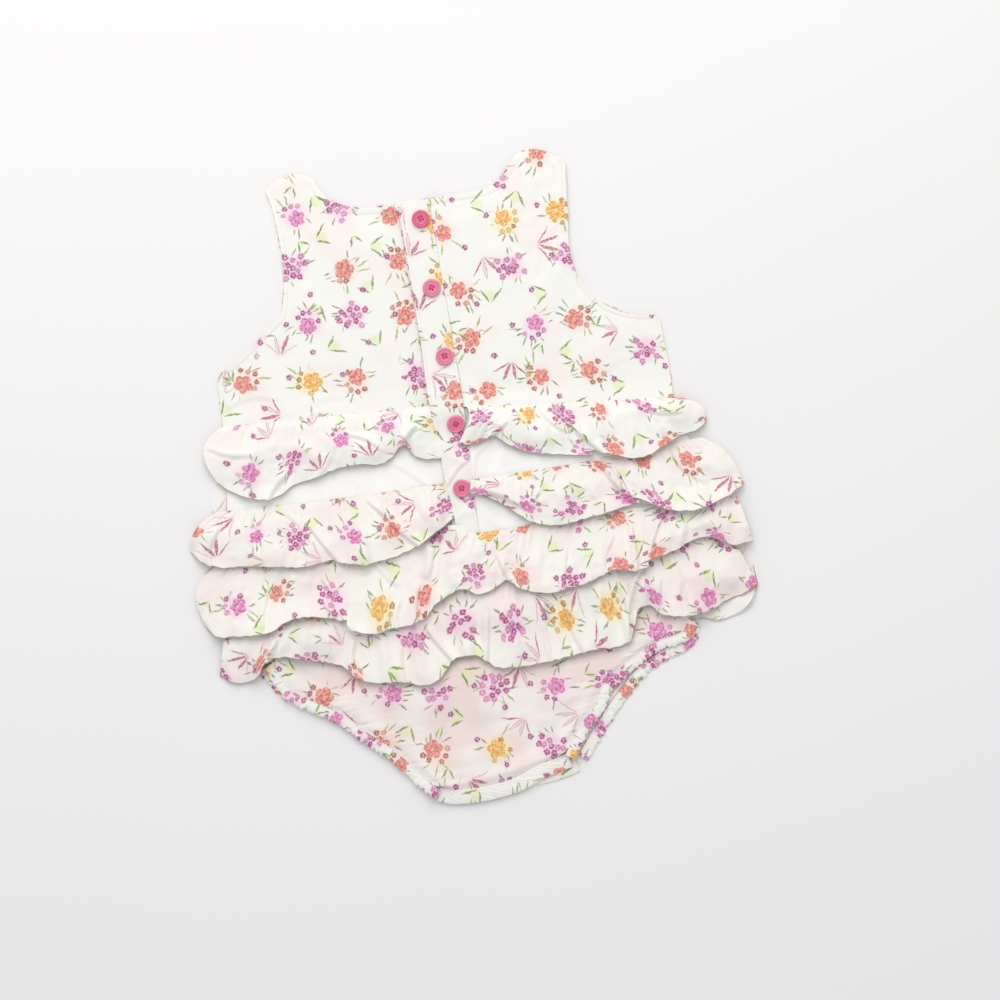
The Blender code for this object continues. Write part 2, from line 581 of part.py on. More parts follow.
def build():
    clear_scene()
    printed = cloth("printed_cotton", PRINTED_COTTON)
    plain = cloth("plain_cotton", PLAIN_COTTON)
    pink = cloth("pink_button", PINK_BUTTON, 0.35)
    pile = Pile()
    front_panel(pile, printed)
    casing(pile, "leg_casing_front_left", FRONT_LEG_LEFT, FRONT_CASING_HEIGHT, 1, printed, True)
    casing(pile, "leg_casing_front_right", FRONT_LEG_RIGHT, FRONT_CASING_HEIGHT, -1, printed, True)
    crotch_band(pile, "crotch_band_front", FRONT_CROTCH, printed, True)
    lay_panel(pile, "seat_base_left", across(SEAT_LEFT_SECTIONS, 9, 2)[:, ::-1], plain)
    lay_panel(pile, "back_bodice_left", across(BACK_LEFT_SECTIONS, 8, 2), printed)
    seat_right = across(SEAT_RIGHT_SECTIONS, 11, 2, LAP_CROWDING)[:, ::-1]
    lay_panel(pile, "seat_base_right", seat_right, plain, LAP_LIFT)
    lay_panel(pile, "back_bodice_right", across(BACK_RIGHT_SECTIONS, 12, 1, LAP_CROWDING), printed, LAP_LIFT)
    crotch_band(pile, "crotch_band_back", BACK_CROTCH, printed)
    casing(pile, "leg_casing_back_left", BACK_LEG_LEFT, BACK_CASING_HEIGHT, 1, printed)
    casing(pile, "leg_casing_back_right", BACK_LEG_RIGHT, BACK_CASING_HEIGHT, -1, printed)
    seat_panel(pile, printed)
    lay_panel(pile, "button_band", across(BAND_SECTIONS, 4, 3)[:, ::-1], printed)
    last_button = buttons(pile, pink)
    for name, waves, seam, left_bow, right_bow in TIERS:
        if name == "ruffle_2_right":
            pile.lay(last_button)
        tier(pile, name, waves, seam, left_bow, right_bow, printed)


build()
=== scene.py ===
"""Baby romper laid flat with its back up, in flower-printed poplin: cloth, gathers, hems, stitches and
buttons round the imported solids. Lengths are in millimetres until a mesh is made. The garment's middle
runs along Y with the neck towards +Y, and every layer of cloth lies on the one below it."""

import math

import bmesh
import bpy
import numpy as np
from mathutils import Matrix, Vector
from mathutils.geometry import delaunay_2d_cdt


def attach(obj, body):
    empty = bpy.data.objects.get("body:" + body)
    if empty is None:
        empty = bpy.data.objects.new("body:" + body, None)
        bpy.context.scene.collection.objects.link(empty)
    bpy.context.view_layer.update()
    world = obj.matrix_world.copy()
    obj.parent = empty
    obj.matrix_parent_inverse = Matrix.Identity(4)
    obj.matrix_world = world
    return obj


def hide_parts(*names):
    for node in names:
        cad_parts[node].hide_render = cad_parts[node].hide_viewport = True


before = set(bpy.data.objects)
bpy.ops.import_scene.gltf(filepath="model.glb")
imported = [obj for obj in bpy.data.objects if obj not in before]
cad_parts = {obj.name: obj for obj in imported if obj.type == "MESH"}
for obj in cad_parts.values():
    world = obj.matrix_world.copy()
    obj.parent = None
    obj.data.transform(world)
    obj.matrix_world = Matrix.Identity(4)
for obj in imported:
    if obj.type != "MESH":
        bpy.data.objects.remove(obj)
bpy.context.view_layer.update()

MM = 0.001

# Cloth and the room that each layer takes in the pile, in mm
CLOTH = 0.45
WALL = 1.0
GAP = 0.35
LEAST_ROOM = 0.75  # how close a fold may come to what it lies on, between the two middles

# Elastic casings and crotch bands, in mm
CASING_WIDTH = 7.0
FRONT_CASING_HEIGHT = 2.2
BACK_CASING_HEIGHT = 3.0
CROTCH_BAND_WIDTH = 9.0

# Buttons, in mm
BUTTON_RADIUS = 5.75
BUTTON_HEIGHT = 2.4
BUTTON_SIDES = 48
HOLE_RADIUS = 0.6
HOLE_OFFSET = 1.5
BUTTON_PLACES = ((-0.5, 165.2), (-0.5, 120.6), (0.9, 76.3), (1.2, 32.8), (-1.5, -8.5))
BUTTON_TURNS = (20.0, 65.0, 5.0, 48.0, 80.0)  # degrees

# Tiers, in mm
TIER_LENGTH = 46.0
TIER_ROWS = 38
STEPS_PER_WAVE = 14
HEM_LIFT = 0.3  # share of a wave's lift that a hem is laid with
PUFF_SHARE = 0.17  # share of a tier's spare length that its middle stands up by
PUFF_ROOM, PUFF_KEPT = (2.0, 6.0), 0.7  # the least and most of that, and how much of it stays
BOW_REACH = 0.15  # share of a tier's width that the bow of an end takes

# Folds, in mm: how much they stand above the height in their table, how soon a sharp one drops,
# and the depth as a share of its height, place and half width of the crevice at its foot
FOLD_GAIN = 1.25
SHARP_SIDE = 1.2
CREVICE_SHARE, CREVICE_PLACE, CREVICE_HALF = 0.5, 2.3, 1.25

# The ground under the pile of cloth, in mm
GRID = 2.0
GRID_HALF = (212.0, 228.0)
SPREAD_CELLS = 3
LAP_LIFT = 0.2
SEAM_GAP = 0.04  # between two pieces that are sewn edge to edge

# Sewing, in mm
TOPSTITCH = 2.4  # from one stitch to the next
TOPSTITCH_SHARE = 0.72  # the length of a stitch over that
TOPSTITCH_THREAD = 0.34
OVERLOCK = 1.25
OVERLOCK_LENGTH, OVERLOCK_THREAD, OVERLOCK_CORD = 1.0, 0.4, 0.3
ON_TOP = 0.08  # from the cloth's face to the middle of a stitch
NECK_HEM = 4.5
ARMHOLE_FACING = 7.5
SEWN_STEP = 0.8  # from one row of a casing's or crotch band's grid to the next
CASING_CUT = 14.5  # the width of a casing's strip before it is folded
CASING_FULLNESS = 1.25  # the length of that strip over the length of the gathered casing
BAND_FOLD = 0.75  # from the middle of a crotch band's cloth to that of its turned-in edge

# The print, in mm and radians: posies on a loose grid, and leaves and small blossoms between them
POSY_PITCH = 35.0
POSY_KINDS = (0.0, 0.3, 0.62, 0.8)  # the chances at which coral, violet, orange and magenta start
FULL_TURN = 6.28  # by which a chance number turns a motif or moves a wave
LEAF_EDGE = (0.02, 0.35)  # how far inside its outline a leaf's ink starts, and where it is full
SHARP = 0.01  # half the width of an edge that shows as a clean cut
LEAF_WASH, LEAF_GREEN = "#DFEC9C", "#7C9656"

# Shades of poplin: printed, printed over one or more printed layers (with painted glow), and plain
PRINTED_SHADES = ("#F7F0EB", "#F6F4EF", "#F4F5EE")
# The tiers' shades are the printed ones tinted pinker: painted glow of the print on the layers below.
TIER_SHADES_PAINTED_GLOW = ("#F7EBE7", "#F7F1EC", "#F5F3EB")
# The seat's are pinker and darker still: painted glow of the print below and painted shade under the
# tiers.
SEAT_SHADES_PAINTED_GLOW_AND_SHADE = ("#F3E1DC", "#F5EAE5", "#F7F1ED")
PLAIN_SHADES = ("#FAF9F5", "#FCFBF8", "#FBFAF8")
THREAD_PITCH = 0.8  # Poplin's threads lie 0.25 mm apart. They are drawn coarser, to show close up.

# The stand, in metres: a board, a white room, one soft light beyond the neck, and a camera above
BOARD_HALF, BOARD_DROP = 1.6, 0.0002
ROOM_LIGHT, ROOM_STRENGTH = (0.975, 0.985, 1.0, 1.0), 0.632
LAMP_PLACE, LAMP_AIM, LAMP_SIZE = (0.0, 1.0, 1.25), (0.0, 0.05, 0.0), 1.4
LAMP_LIGHT, LAMP_POWER = (1.0, 0.975, 0.95), 15.2
CAMERA_PLACE, CAMERA_TURN, CAMERA_LENS = (0.0214, -0.0196, 1.6), math.radians(-9.0), 90.0

# Outlines, in mm. A section is a straight line across a panel: x and y of its left end, x and y of
# its right end and, where a curved top edge needs it, how far the middle of the line is lifted.
BACK_LEFT_SECTIONS = (
    (-146, 54.5, 6, 45.5), (-145.5, 70, 6, 62), (-145, 82, 6, 78), (-141.5, 88.5, 6, 92),
    (-132, 93.5, 6, 102), (-120, 102, 6, 112), (-108, 111, 6, 122), (-98.5, 119, 6, 134),
    (-94, 136, 6, 148), (-92, 155, 6, 163), (-92, 168, 6, 177), (-92.5, 177, -20, 178),
    (-93, 183, -41, 180), (-93.5, 188, -53, 185, 0.5), (-94.5, 193, -60, 192, 1.5),
    (-96, 199, -65, 203, 6),
)
BACK_RIGHT_SECTIONS = (
    (-15, 45, 141, 28), (-14, 62, 141.5, 50), (-13.5, 78, 140.5, 70), (-13, 94, 139.5, 80.5),
    (-13, 104, 130, 83), (-13, 112, 118, 86.5), (-13.5, 120, 106, 94), (-14, 130, 97, 105),
    (-14, 142, 91.5, 120), (-14, 152, 90.5, 138), (-14, 163, 92, 148), (-14, 171, 93, 156),
    (-14, 178, 93.7, 164), (8, 178.2, 94.3, 169), (28, 178.5, 94.8, 174.5), (45, 179.3, 95.3, 180),
    (53, 183.5, 96, 186, 0.5), (60, 191, 95, 189.5, 1.5), (66, 197.5, 90.5, 192.5, 3.5),
)
SEAT_LEFT_SECTIONS = (
    (-144, 54, 6, 45.1), (-148, 25, 6, 22), (-152, 0, 6, 0), (-156, -30, 6, -30), (-155, -60, 6, -60),
    (-148, -84, 6, -84),
)
SEAT_RIGHT_SECTIONS = (
    (-14, 44.4, 140, 27.6), (-12, 22, 142, 12), (-12, 0, 147, 0), (-11, -30, 155, -30),
    (-11, -60, 160, -60), (-11, -84, 160, -84),
)
BAND_SECTIONS = (
    (-13.5, 177, 6, 177.2), (-12.7, 120, 7, 120), (-13, 76, 7.5, 76), (-13.5, 46, 7.8, 46),
    (-11.5, 20, 7, 20), (-11, 0, 6, 0), (-9, -25, 5, -25), (-9.5, -47, 5, -47),
)

# The stretches of the front panel's edge, clockwise from the left leg: x and y. Its leg and crotch
# edges follow the casings and the crotch band.
FRONT_LEFT_SIDE = (
    (-153, -93), (-160, -80), (-165, -52), (-163.5, -20), (-160, 12), (-151, 45), (-146, 75),
)
FRONT_LEFT_ARMHOLE = ((-141, 86), (-122, 99), (-104, 113), (-97, 126), (-93.5, 150), (-95.5, 198))
FRONT_NECK = (
    (-74, 204), (-64, 190), (-48, 165), (-24, 156), (2, 154), (28, 157), (52, 167), (64, 186),
    (74, 197),
)
FRONT_RIGHT_ARMHOLE = ((94, 187), (91, 148), (90.5, 132), (93, 114), (101, 100.5), (124, 84), (139, 76))
FRONT_RIGHT_SIDE = (
    (142.5, 40), (146, 20), (152, 0), (160, -22), (170, -60), (176, -92), (173, -105), (164, -114),
    (149, -118), (138, -115),
)

# Outer edges of the leg openings, from the side seam to the crotch
BACK_LEG_LEFT = (
    (-145, -103), (-140, -113), (-134, -124), (-120, -134), (-104, -144.5), (-91, -157.5), (-75, -172),
    (-62, -188), (-50, -201.5),
)
BACK_LEG_RIGHT = (
    (134, -117), (127, -127), (110, -130), (97, -135.5), (84, -143.5), (73, -151), (66, -163),
    (53, -176), (43, -190.5),
)
FRONT_LEG_LEFT = (
    (-152, -99), (-137, -121), (-117, -132.5), (-100, -144), (-87, -158), (-72, -172), (-58, -190),
)
FRONT_LEG_RIGHT = (
    (136, -119), (128, -131.5), (109, -138), (96, -145), (83, -156.5), (70, -170), (60, -182),
    (51, -193),
)
# Lower edges of the crotch bands, from left to right
BACK_CROTCH = ((-48, -203.5), (-37, -207), (-17, -208), (4, -205.5), (22, -199.5), (40.5, -195))
FRONT_CROTCH = ((-54, -197), (-30, -203), (0, -202.5), (20, -203), (36, -201), (45, -198.5))

# Waves of each tier, from its left end to its right end: x and y that the hem reaches, and how far
# it stands above what it lies on. Where the hem runs back on itself, the cloth is folded over.
TIER_1_LEFT = (
    (-155, 19, 2.5), (-147, 12, 4), (-137, 6.5, 6), (-126, 3.5, 4), (-116, 5, 2), (-107, 10, 2.5),
    (-92, 12.5, 5), (-78, 16, 6.5), (-63, 16.5, 6), (-51, 14.5, 4), (-42, 18, 4.5), (-34, 24.5, 6),
    (-28, 16.5, 2.5), (-21, 13, 3), (-13.5, 12.5, 2),
)
TIER_1_RIGHT = (
    (0.5, 19.5, 1), (9, 18, 3), (17, 19.5, 3), (24, 21, 5), (33, 13.5, 6), (44, 7.5, 6.5), (58, 4, 5),
    (70, 1.5, 2.5), (84, -1, 1), (80, 2, 4.2), (87, 1.5, 7.2), (98, -3, 6), (110, -7, 6),
    (121, -6, 4.5), (131, -1.5, 5), (142, 3, 3.5), (152, 4.5, 4), (159.5, 9, 2),
)
TIER_2_LEFT = (
    (-179, -22, 4), (-172, -30, 6), (-160, -35, 4), (-148, -36, 2.5), (-136, -38, 4),
    (-122, -40.5, 5.5), (-110, -42.5, 4), (-100, -42, 2.5), (-91, -41, 4), (-82, -44.5, 6.5),
    (-72, -47.5, 7.5), (-62, -46.5, 6), (-52, -45.5, 4), (-42, -43, 2), (-33, -40, 1.5), (-26, -36, 5),
    (-18, -31.5, 6.5), (-9, -26.5, 3.5),
)
TIER_2_RIGHT = (
    (3, -12.5, 1), (12, -16, 3), (20, -21, 4), (29, -28.5, 5), (38, -36, 4.5), (49, -40.5, 5),
    (61, -41.5, 6), (73, -40, 4.5), (84, -39, 4), (96, -37, 2), (110, -34.5, 1), (104, -31, 4.2),
    (112, -34.5, 7.5), (122, -41, 6), (133, -44.5, 6.5), (144, -45.5, 5.5), (155, -43, 3.5),
    (166, -39.5, 4.5), (177, -34, 3),
)
TIER_3 = (
    (-176.5, -71, 4), (-170, -78, 5.5), (-158, -79.5, 3.5), (-146, -80.5, 2.5), (-135, -80, 4),
    (-124, -75, 6), (-113, -74, 4), (-102, -76, 2.5), (-92, -79, 1.2), (-83, -81.5, 1), (-87, -84, 4.2),
    (-80, -89, 7.2), (-69, -91.5, 6.5), (-59, -89.5, 4), (-51, -90, 3), (-43, -88.5, 3),
    (-36, -86, 3.5), (-30, -79.5, 7), (-20, -74.5, 7.5), (-11, -72, 5.5), (-2, -77, 3), (8, -75.5, 3.5),
    (18, -71, 6), (26, -78, 4), (37, -82, 5), (48, -83.5, 3.5), (56, -81.5, 3), (66, -81.5, 5),
    (76, -78, 5), (87, -75, 3.5), (98, -77.5, 1.5), (108, -76.5, 1), (103, -74, 4.2), (112, -72, 7.2),
    (126, -69, 6), (138, -64.5, 4.5), (150, -64, 6.5), (163, -71, 3), (176.5, -71, 5),
)
TIER_4 = (
    (-173, -103, 4), (-165, -108.5, 3), (-155, -109.5, 2.5), (-148, -106.5, 3), (-142, -99, 7),
    (-131, -97, 9), (-118, -101, 8.5), (-105, -105, 8), (-94, -109, 6.5), (-87, -117, 7),
    (-77, -122, 8.5), (-66, -123.5, 8), (-56, -125, 7), (-47, -128.5, 7), (-37, -128, 5),
    (-30, -122.5, 3), (-24, -116, 3), (-17, -114.5, 6), (-10, -115, 4.5), (-4, -119, 3), (3, -125, 6),
    (14, -126.5, 7.5), (27, -127, 7), (40, -126, 7.5), (52, -125, 6.5), (65, -123.5, 6), (78, -124, 5),
    (89, -121.5, 3.5), (94, -112, 4.5), (98, -102.5, 6), (105, -101, 6.5), (111, -107, 5),
    (120, -110.5, 6), (132, -111.5, 6), (144, -110, 5), (155, -105.5, 4), (166, -103, 4), (176, -98, 3),
)

# Seam lines of the tiers, from left to right
SEAM_1_LEFT = ((-145, 53.9), (-80, 50.1), (-15, 46.2))
SEAM_1_RIGHT = ((9.5, 42.3), (80, 34.8), (139.5, 28.2))
SEAM_2_LEFT = ((-156, 1), (-80, -2.5), (-13, -3.5))
SEAM_2_RIGHT = ((5.5, -4), (80, -4), (155, 0))
SEAM_3 = ((-165, -33), (-20, -30), (5, -38), (60, -38), (170, -38))
SEAM_4 = ((-163, -70), (0, -66), (157, -58))

# Every tier in the order that they lie: its waves, its seam line, how far its left and right ends
# bow outwards, the width and length that it was cut to, in mm, and what it rests on.
TIERS = (
    ("ruffle_4", TIER_4, SEAM_4, (0, 1), (420, 50), ("seat_lower",)),
    ("ruffle_3", TIER_3, SEAM_3, (9, 0.5), (430, 47), ("ruffle_4",)),
    ("ruffle_2_left", TIER_2_LEFT, SEAM_2_LEFT, (7, 1), (198, 43), ("seat_base_left", "ruffle_3")),
    ("ruffle_1_left", TIER_1_LEFT, SEAM_1_LEFT, (11, 0), (170, 42), ("seat_base_left", "ruffle_2_left")),
    ("ruffle_2_right", TIER_2_RIGHT, SEAM_2_RIGHT, (0, 5), (220, 40), ("seat_base_right", "ruffle_3")),
    (
        "ruffle_1_right", TIER_1_RIGHT, SEAM_1_RIGHT, (-4, 8), (194, 38),
        ("seat_base_right", "ruffle_2_right"),
    ),
)

# Folds listed for each piece: half the width of a fold, its height (a trough is negative),
# whether it drops sharply on its right as its line runs, and x and y of each point of that line,
# which runs along its crest.
FOLDS = {
    "back_bodice_left": (
        (9, 0.9, 0, -128, 88, -112, 72, -104, 52), (7, 0.7, 0, -92, 128, -70, 104, -60, 74),
        (8, -0.6, 0, -66, 52, -42, 49, -14, 47), (6, 0.6, 0, -80, 180, -58, 158, -44, 128),
        (6, 0.7, 0, -36, 92, -28, 70, -24, 48), (2.6, 0.5, 1, -142, 66, -124, 70, -108, 66),
        (2.4, 0.4, 1, -96, 58, -76, 62, -58, 58),
    ),
    "back_bodice_right": (
        (9, 0.9, 0, 128, 80, 104, 66, 88, 40), (8, 0.8, 0, 92, 132, 70, 104, 62, 66),
        (7, -0.6, 0, 20, 52, 44, 46, 66, 38), (6, 0.6, 0, 78, 184, 56, 160, 44, 130),
        (6, 0.7, 0, 16, 100, 26, 72, 34, 50), (2.6, 0.5, 1, 98, 50, 116, 58, 138, 56),
        (2.4, 0.4, 1, 84, 150, 72, 138, 66, 120),
    ),
    "seat_base_left": (
        (3, 0.7, 1, -44, 16, -30, 4, -17, -9), (7, 0.8, 0, -112, 14, -104, 2, -100, -8),
        (2.2, 0.5, 0, -70, 14, -68, 4, -74, -6),
    ),
    "seat_base_right": (
        (3, 0.8, 1, 5, -8, 10, 10, 22, 20), (3.5, 0.8, 0, 30, 14, 25, 2, 26, -8),
        (6, 0.6, 0, 44, 10, 52, -2, 50, -30), (3.5, 0.8, 0, 8, -18, 14, -30, 30, -42),
    ),
    "button_band": (
        (2, 0.7, 1, -12, -6, -3, 4, 6, 10), (3, 0.6, 0, -12, 24, -4, 12, 6, 8),
        (2.5, 0.6, 0, -10, -30, -3, -24, 5, -26),
    ),
    "ruffle_1_left": (
        (8, 1.6, 0, -152, 42, -128, 36, -96, 34), (2.2, 1, 1, -159, 43, -145, 36, -128, 33),
        (2, 0.9, 1, -98, 8, -84, 20, -76, 34), (2, 0.9, 1, -70, 38, -56, 32, -46, 22),
        (6, 1.2, 0, -140, 30, -136, 18, -140, 4), (2.8, 2.2, 1, -130, -5, -120, 10, -106, 22),
        (6, 1.4, 0, -100, 36, -90, 24, -88, 10), (7, 1.2, 0, -84, 24, -60, 22, -40, 28),
        (3, 2.6, 1, -36, 18, -33, 28, -24, 36), (5, -1, 0, -60, 46, -40, 47, -18, 44),
    ),
    "ruffle_1_right": (
        (2.4, 1.8, 1, 14, 14, 22, 21, 34, 30), (6, 1.4, 0, 30, 36, 44, 26, 52, 10),
        (3.5, 2.6, 1, 70, 26, 83, 9, 99, -7), (7, 1.6, 0, 96, 26, 108, 14, 112, -6),
        (6, 1.5, 0, 100, 22, 126, 22, 150, 14), (5, -0.9, 0, 24, 42, 44, 36, 66, 33),
        (4, 1.4, 0, 128, 12, 134, 6, 134, -4), (2, 1, 1, 56, 34, 62, 24, 72, 16),
        (2.2, 1.1, 1, 118, 26, 130, 20, 146, 18),
    ),
    "ruffle_2_left": (
        (3.2, 2.4, 1, -64, -4, -52, -18, -45, -28, -29, -45),
        (3.2, 2, 1, -104, -12, -94, -29, -83, -47), (7, 1.6, 0, -150, -4, -146, -20, -142, -38),
        (6, 1.4, 0, -120, -6, -118, -24, -124, -42), (6, 1.5, 0, -76, -12, -70, -28, -72, -48),
        (4, 1.4, 0, -30, -12, -24, -22, -20, -34), (3, 1.6, 1, -168, -34, -166, -20, -158, -8),
        (2, 0.9, 1, -136, -8, -132, -22, -134, -36), (2.2, 1, 1, -118, -4, -108, -14, -100, -30),
    ),
    "ruffle_2_right": (
        (3, 2, 1, 4, -12, 20, -15, 36, -26), (7, 1.8, 0, 70, -8, 62, -24, 58, -42),
        (3.6, 2.6, 1, 86, -1, 97, -22, 117, -44), (7, 1.6, 0, 118, -8, 124, -24, 124, -42),
        (6, 1.4, 0, 134, -14, 150, -18, 172, -24), (4.5, 1.5, 0, 142, -22, 148, -32, 150, -46),
        (4, 1.4, 0, 80, -14, 82, -26, 90, -40), (2, 0.9, 1, 38, -38, 42, -24, 52, -12),
        (2.2, 1.1, 1, 134, -4, 140, -18, 154, -30),
    ),
    "ruffle_3": (
        (6, 1.5, 0, -156, -44, -154, -60, -158, -80), (3, 1.8, 1, -140, -78, -138, -64, -132, -50),
        (6, 1.4, 0, -112, -46, -116, -60, -122, -76), (2.2, 1.1, 1, -64, -44, -58, -56, -50, -64),
        (2, 1, 1, -56, -92, -55, -80, -50, -70), (2.2, 1.1, 1, 52, -84, 55, -68, 60, -52),
        (2.2, 1.2, 1, 78, -80, 82, -64, 90, -52), (3.2, 2.6, 1, -100, -66, -88, -82, -72, -97),
        (6, 1.6, 0, -70, -52, -66, -70, -68, -92), (3.4, 3, 0, -28, -38, -29, -50, -34, -62),
        (3, 1.6, 1, -44, -92, -42, -76, -38, -64), (5, 1.6, 0, -12, -48, -14, -62, -12, -76),
        (3, 1.6, 1, 14, -52, 18, -66, 26, -80), (5, 1.5, 0, 42, -50, 40, -66, 44, -84),
        (4, 1.4, 0, 66, -48, 68, -64, 70, -82), (2.6, 2.6, 1, 99, -80, 101, -66, 101, -48),
        (2.6, 2.4, 1, 110, -76, 112, -62, 122, -44), (5, 1.4, 0, 132, -48, 130, -58, 132, -70),
        (4, 2, 0, 146, -50, 152, -58, 156, -70),
    ),
    "ruffle_4": (
        (5, 1.4, 0, -160, -80, -162, -94, -164, -110), (3, 2.4, 1, -146, -108, -140, -96, -132, -84),
        (6, 1.6, 0, -112, -80, -114, -92, -118, -104), (2, 1.1, 1, -104, -108, -101, -96, -100, -84),
        (2.2, 1.2, 1, -56, -128, -57, -112, -54, -96), (2.2, 1.2, 1, 126, -114, 124, -100, 128, -86),
        (3, 1.8, 1, -86, -120, -88, -106, -84, -92), (6, 1.8, 0, -66, -88, -64, -106, -64, -126),
        (4, 1.6, 0, -48, -92, -46, -108, -44, -130), (3, 2.4, 1, -38, -92, -29, -108, -19, -122),
        (4, 2, 0, -14, -84, -16, -100, -14, -118), (2.6, 1.8, 1, -4, -122, -1, -108, 2, -90),
        (6, 1.8, 0, 16, -84, 18, -104, 16, -128), (2.4, 1.8, 1, 38, -128, 37, -106, 38, -86),
        (2.4, 1.6, 1, 50, -82, 54, -106, 60, -126), (5, 1.8, 0, 76, -80, 74, -100, 72, -126),
        (2.8, 3, 1, 88, -124, 92, -98, 104, -72), (3.4, 2, 0, 103, -80, 103, -92, 100, -104),
        (3, 1.8, 1, 116, -112, 112, -98, 114, -84), (6, 1.6, 0, 134, -80, 134, -96, 136, -112),
        (5, 1.4, 0, 148, -84, 160, -92, 174, -98),
    ),
    "seat_lower": (
        (20, 4, 0, -95, -118, -62, -134, -30, -150), (12, 4, 0, -20, -112, -12, -136, -8, -160),
        (15, 2.6, 0, -64, -170, -26, -178, 14, -178), (12, 3.6, 0, 48, -126, 42, -148, 30, -172),
        (11, 2.8, 0, 82, -110, 74, -126, 62, -142), (2.6, 1.5, 1, 2, -158, 4, -142, 2, -120),
        (3, 1.3, 0, 14, -144, 40, -152, 66, -142), (3, -1.2, 0, -50, -166, -34, -172, -16, -170),
        (4, 1.2, 0, -118, -122, -100, -132, -84, -146), (4, 1.2, 0, 30, -176, 42, -172, 52, -160),
    ),
}

# Flat cuts of the other pieces, in mm: width and length of the cloth, and where the cut isn't a
# rectangle, its area in mm2
CUTS = {
    "front_panel": (345, 412, 95000),
    "back_bodice_left": (152, 160, 16000),
    "back_bodice_right": (156, 172, 17500),
    "seat_base_left": (162, 142, 20500),
    "seat_base_right": (170, 132, 20500),
    "button_band": (20, 224, None),
    "seat_lower": (305, 116, 24000),
    "crotch_band_back": (95, 12.5, None),
    "crotch_band_front": (102, 12.5, None),
}


def through(points, steps):
    """A smooth line through points, with the same number of steps between each two."""
    p = np.array(points, float)
    ends = np.vstack([2 * p[0] - p[1], p, 2 * p[-1] - p[-2]])
    out = []
    for a, b, c, d in zip(ends[:-3], ends[1:-2], ends[2:-1], ends[3:]):
        for t in np.arange(steps) / steps:
            bend = 2 * a - 5 * b + 4 * c - d
            twist = 3 * b - a - 3 * c + d
            out.append(0.5 * (2 * b + (c - a) * t + bend * t**2 + twist * t**3))
    return np.array(out + [p[-1]])


def distances(line):
    """How far along a line each of its points lies."""
    return np.concatenate([[0.0], np.cumsum(np.linalg.norm(np.diff(line, axis=0), axis=1))])


def evenly(line, count):
    """The same line with count points, the same distance apart."""
    along = distances(line)
    at = np.linspace(0.0, along[-1], count)
    return np.stack([np.interp(at, along, line[:, k]) for k in range(line.shape[1])], axis=1)


def sideways(line, distance):
    """The line moved to its left, as it runs, by distance."""
    along = np.gradient(line, axis=0)
    along /= np.linalg.norm(along, axis=1)[:, None]
    return line + distance * np.stack([-along[:, 1], along[:, 0]], axis=1)


def length_of(line):
    return float(np.linalg.norm(np.diff(line, axis=0), axis=1).sum())


def seed_of(name):
    """A piece's own seed for all that is uneven on it."""
    return sum(map(ord, name))


def step(x, low, high):
    """0 below low and 1 above high, smooth between them."""
    t = np.clip((x - low) / (high - low), 0.0, 1.0)
    return t * t * (3 - 2 * t)


def off_line(x, y, line):
    """Distance from a line, with its sign (left of the line is positive), and the share along it."""
    starts, runs = line[:-1], np.diff(line, axis=0)
    sizes = np.linalg.norm(runs, axis=1)
    before = distances(line)
    best = np.full(x.shape, np.inf)
    side = np.ones(x.shape)
    share = np.zeros(x.shape)
    for start, run, size, gone in zip(starts, runs, sizes, before):
        dx, dy = x - start[0], y - start[1]
        t = np.clip((dx * run[0] + dy * run[1]) / size**2, 0.0, 1.0)
        off = np.hypot(dx - t * run[0], dy - t * run[1])
        nearer = off < best
        best = np.where(nearer, off, best)
        side = np.where(nearer, np.sign(run[0] * dy - run[1] * dx), side)
        share = np.where(nearer, (gone + t * size) / before[-1], share)
    return best * np.where(side == 0, 1, side), share


def fold_height(name, x, y):
    """The height that a piece's own folds add at x, y."""
    z = np.zeros_like(x)
    for half, height, sharp, *line in FOLDS.get(name, ()):
        off, share = off_line(x, y, through(np.reshape(line, (-1, 2)), 6))
        reach = np.where(off < 0, SHARP_SIDE, half) if sharp else half
        fade = 1 - (2 * share - 1) ** (8 if sharp else 4)
        z = z + FOLD_GAIN * height * np.exp(-((off / reach) ** 2)) * fade
        if sharp:
            crevice = np.exp(-(((off + CREVICE_PLACE) / CREVICE_HALF) ** 2))
            z = z - CREVICE_SHARE * height * crevice * fade
    return z


def crumple(x, y, size, height, seed):
    """Gentle unevenness of cloth that has been worn and smoothed by hand: bent waves of about a size
    in mm, laid across each other."""
    draw = np.random.default_rng(seed)
    z = np.zeros_like(x)
    for _ in range(9):
        angle, phase = draw.uniform(0, math.pi), draw.uniform(0, 2 * math.pi)
        wave = size * draw.uniform(0.6, 1.7)
        along = x * math.cos(angle) + y * math.sin(angle)
        across_it = y * math.cos(angle) - x * math.sin(angle)
        sway = 1.3 * np.sin(across_it / wave * 2.6 + 2 * phase)
        z += np.sin(2 * math.pi * along / wave + phase + sway)
    return height * z / 3.0


def gathers(u, pitch, seed):
    """Uneven little pleats side by side, from -1 to 1 along u."""
    draw = np.random.default_rng(seed)
    bend = np.zeros_like(u)
    for longer in (2.3, 3.7, 6.1, 9.7):
        height = draw.uniform(0.5, 1.0)
        bend = bend + height * np.sin(2 * math.pi * u / (pitch * longer) + draw.uniform(0, FULL_TURN))
    strength = 0.65 + 0.35 * np.sin(2 * math.pi * u / (pitch * 4.9) + draw.uniform(0, FULL_TURN))
    return strength * np.sin(2 * math.pi * u / pitch + bend)


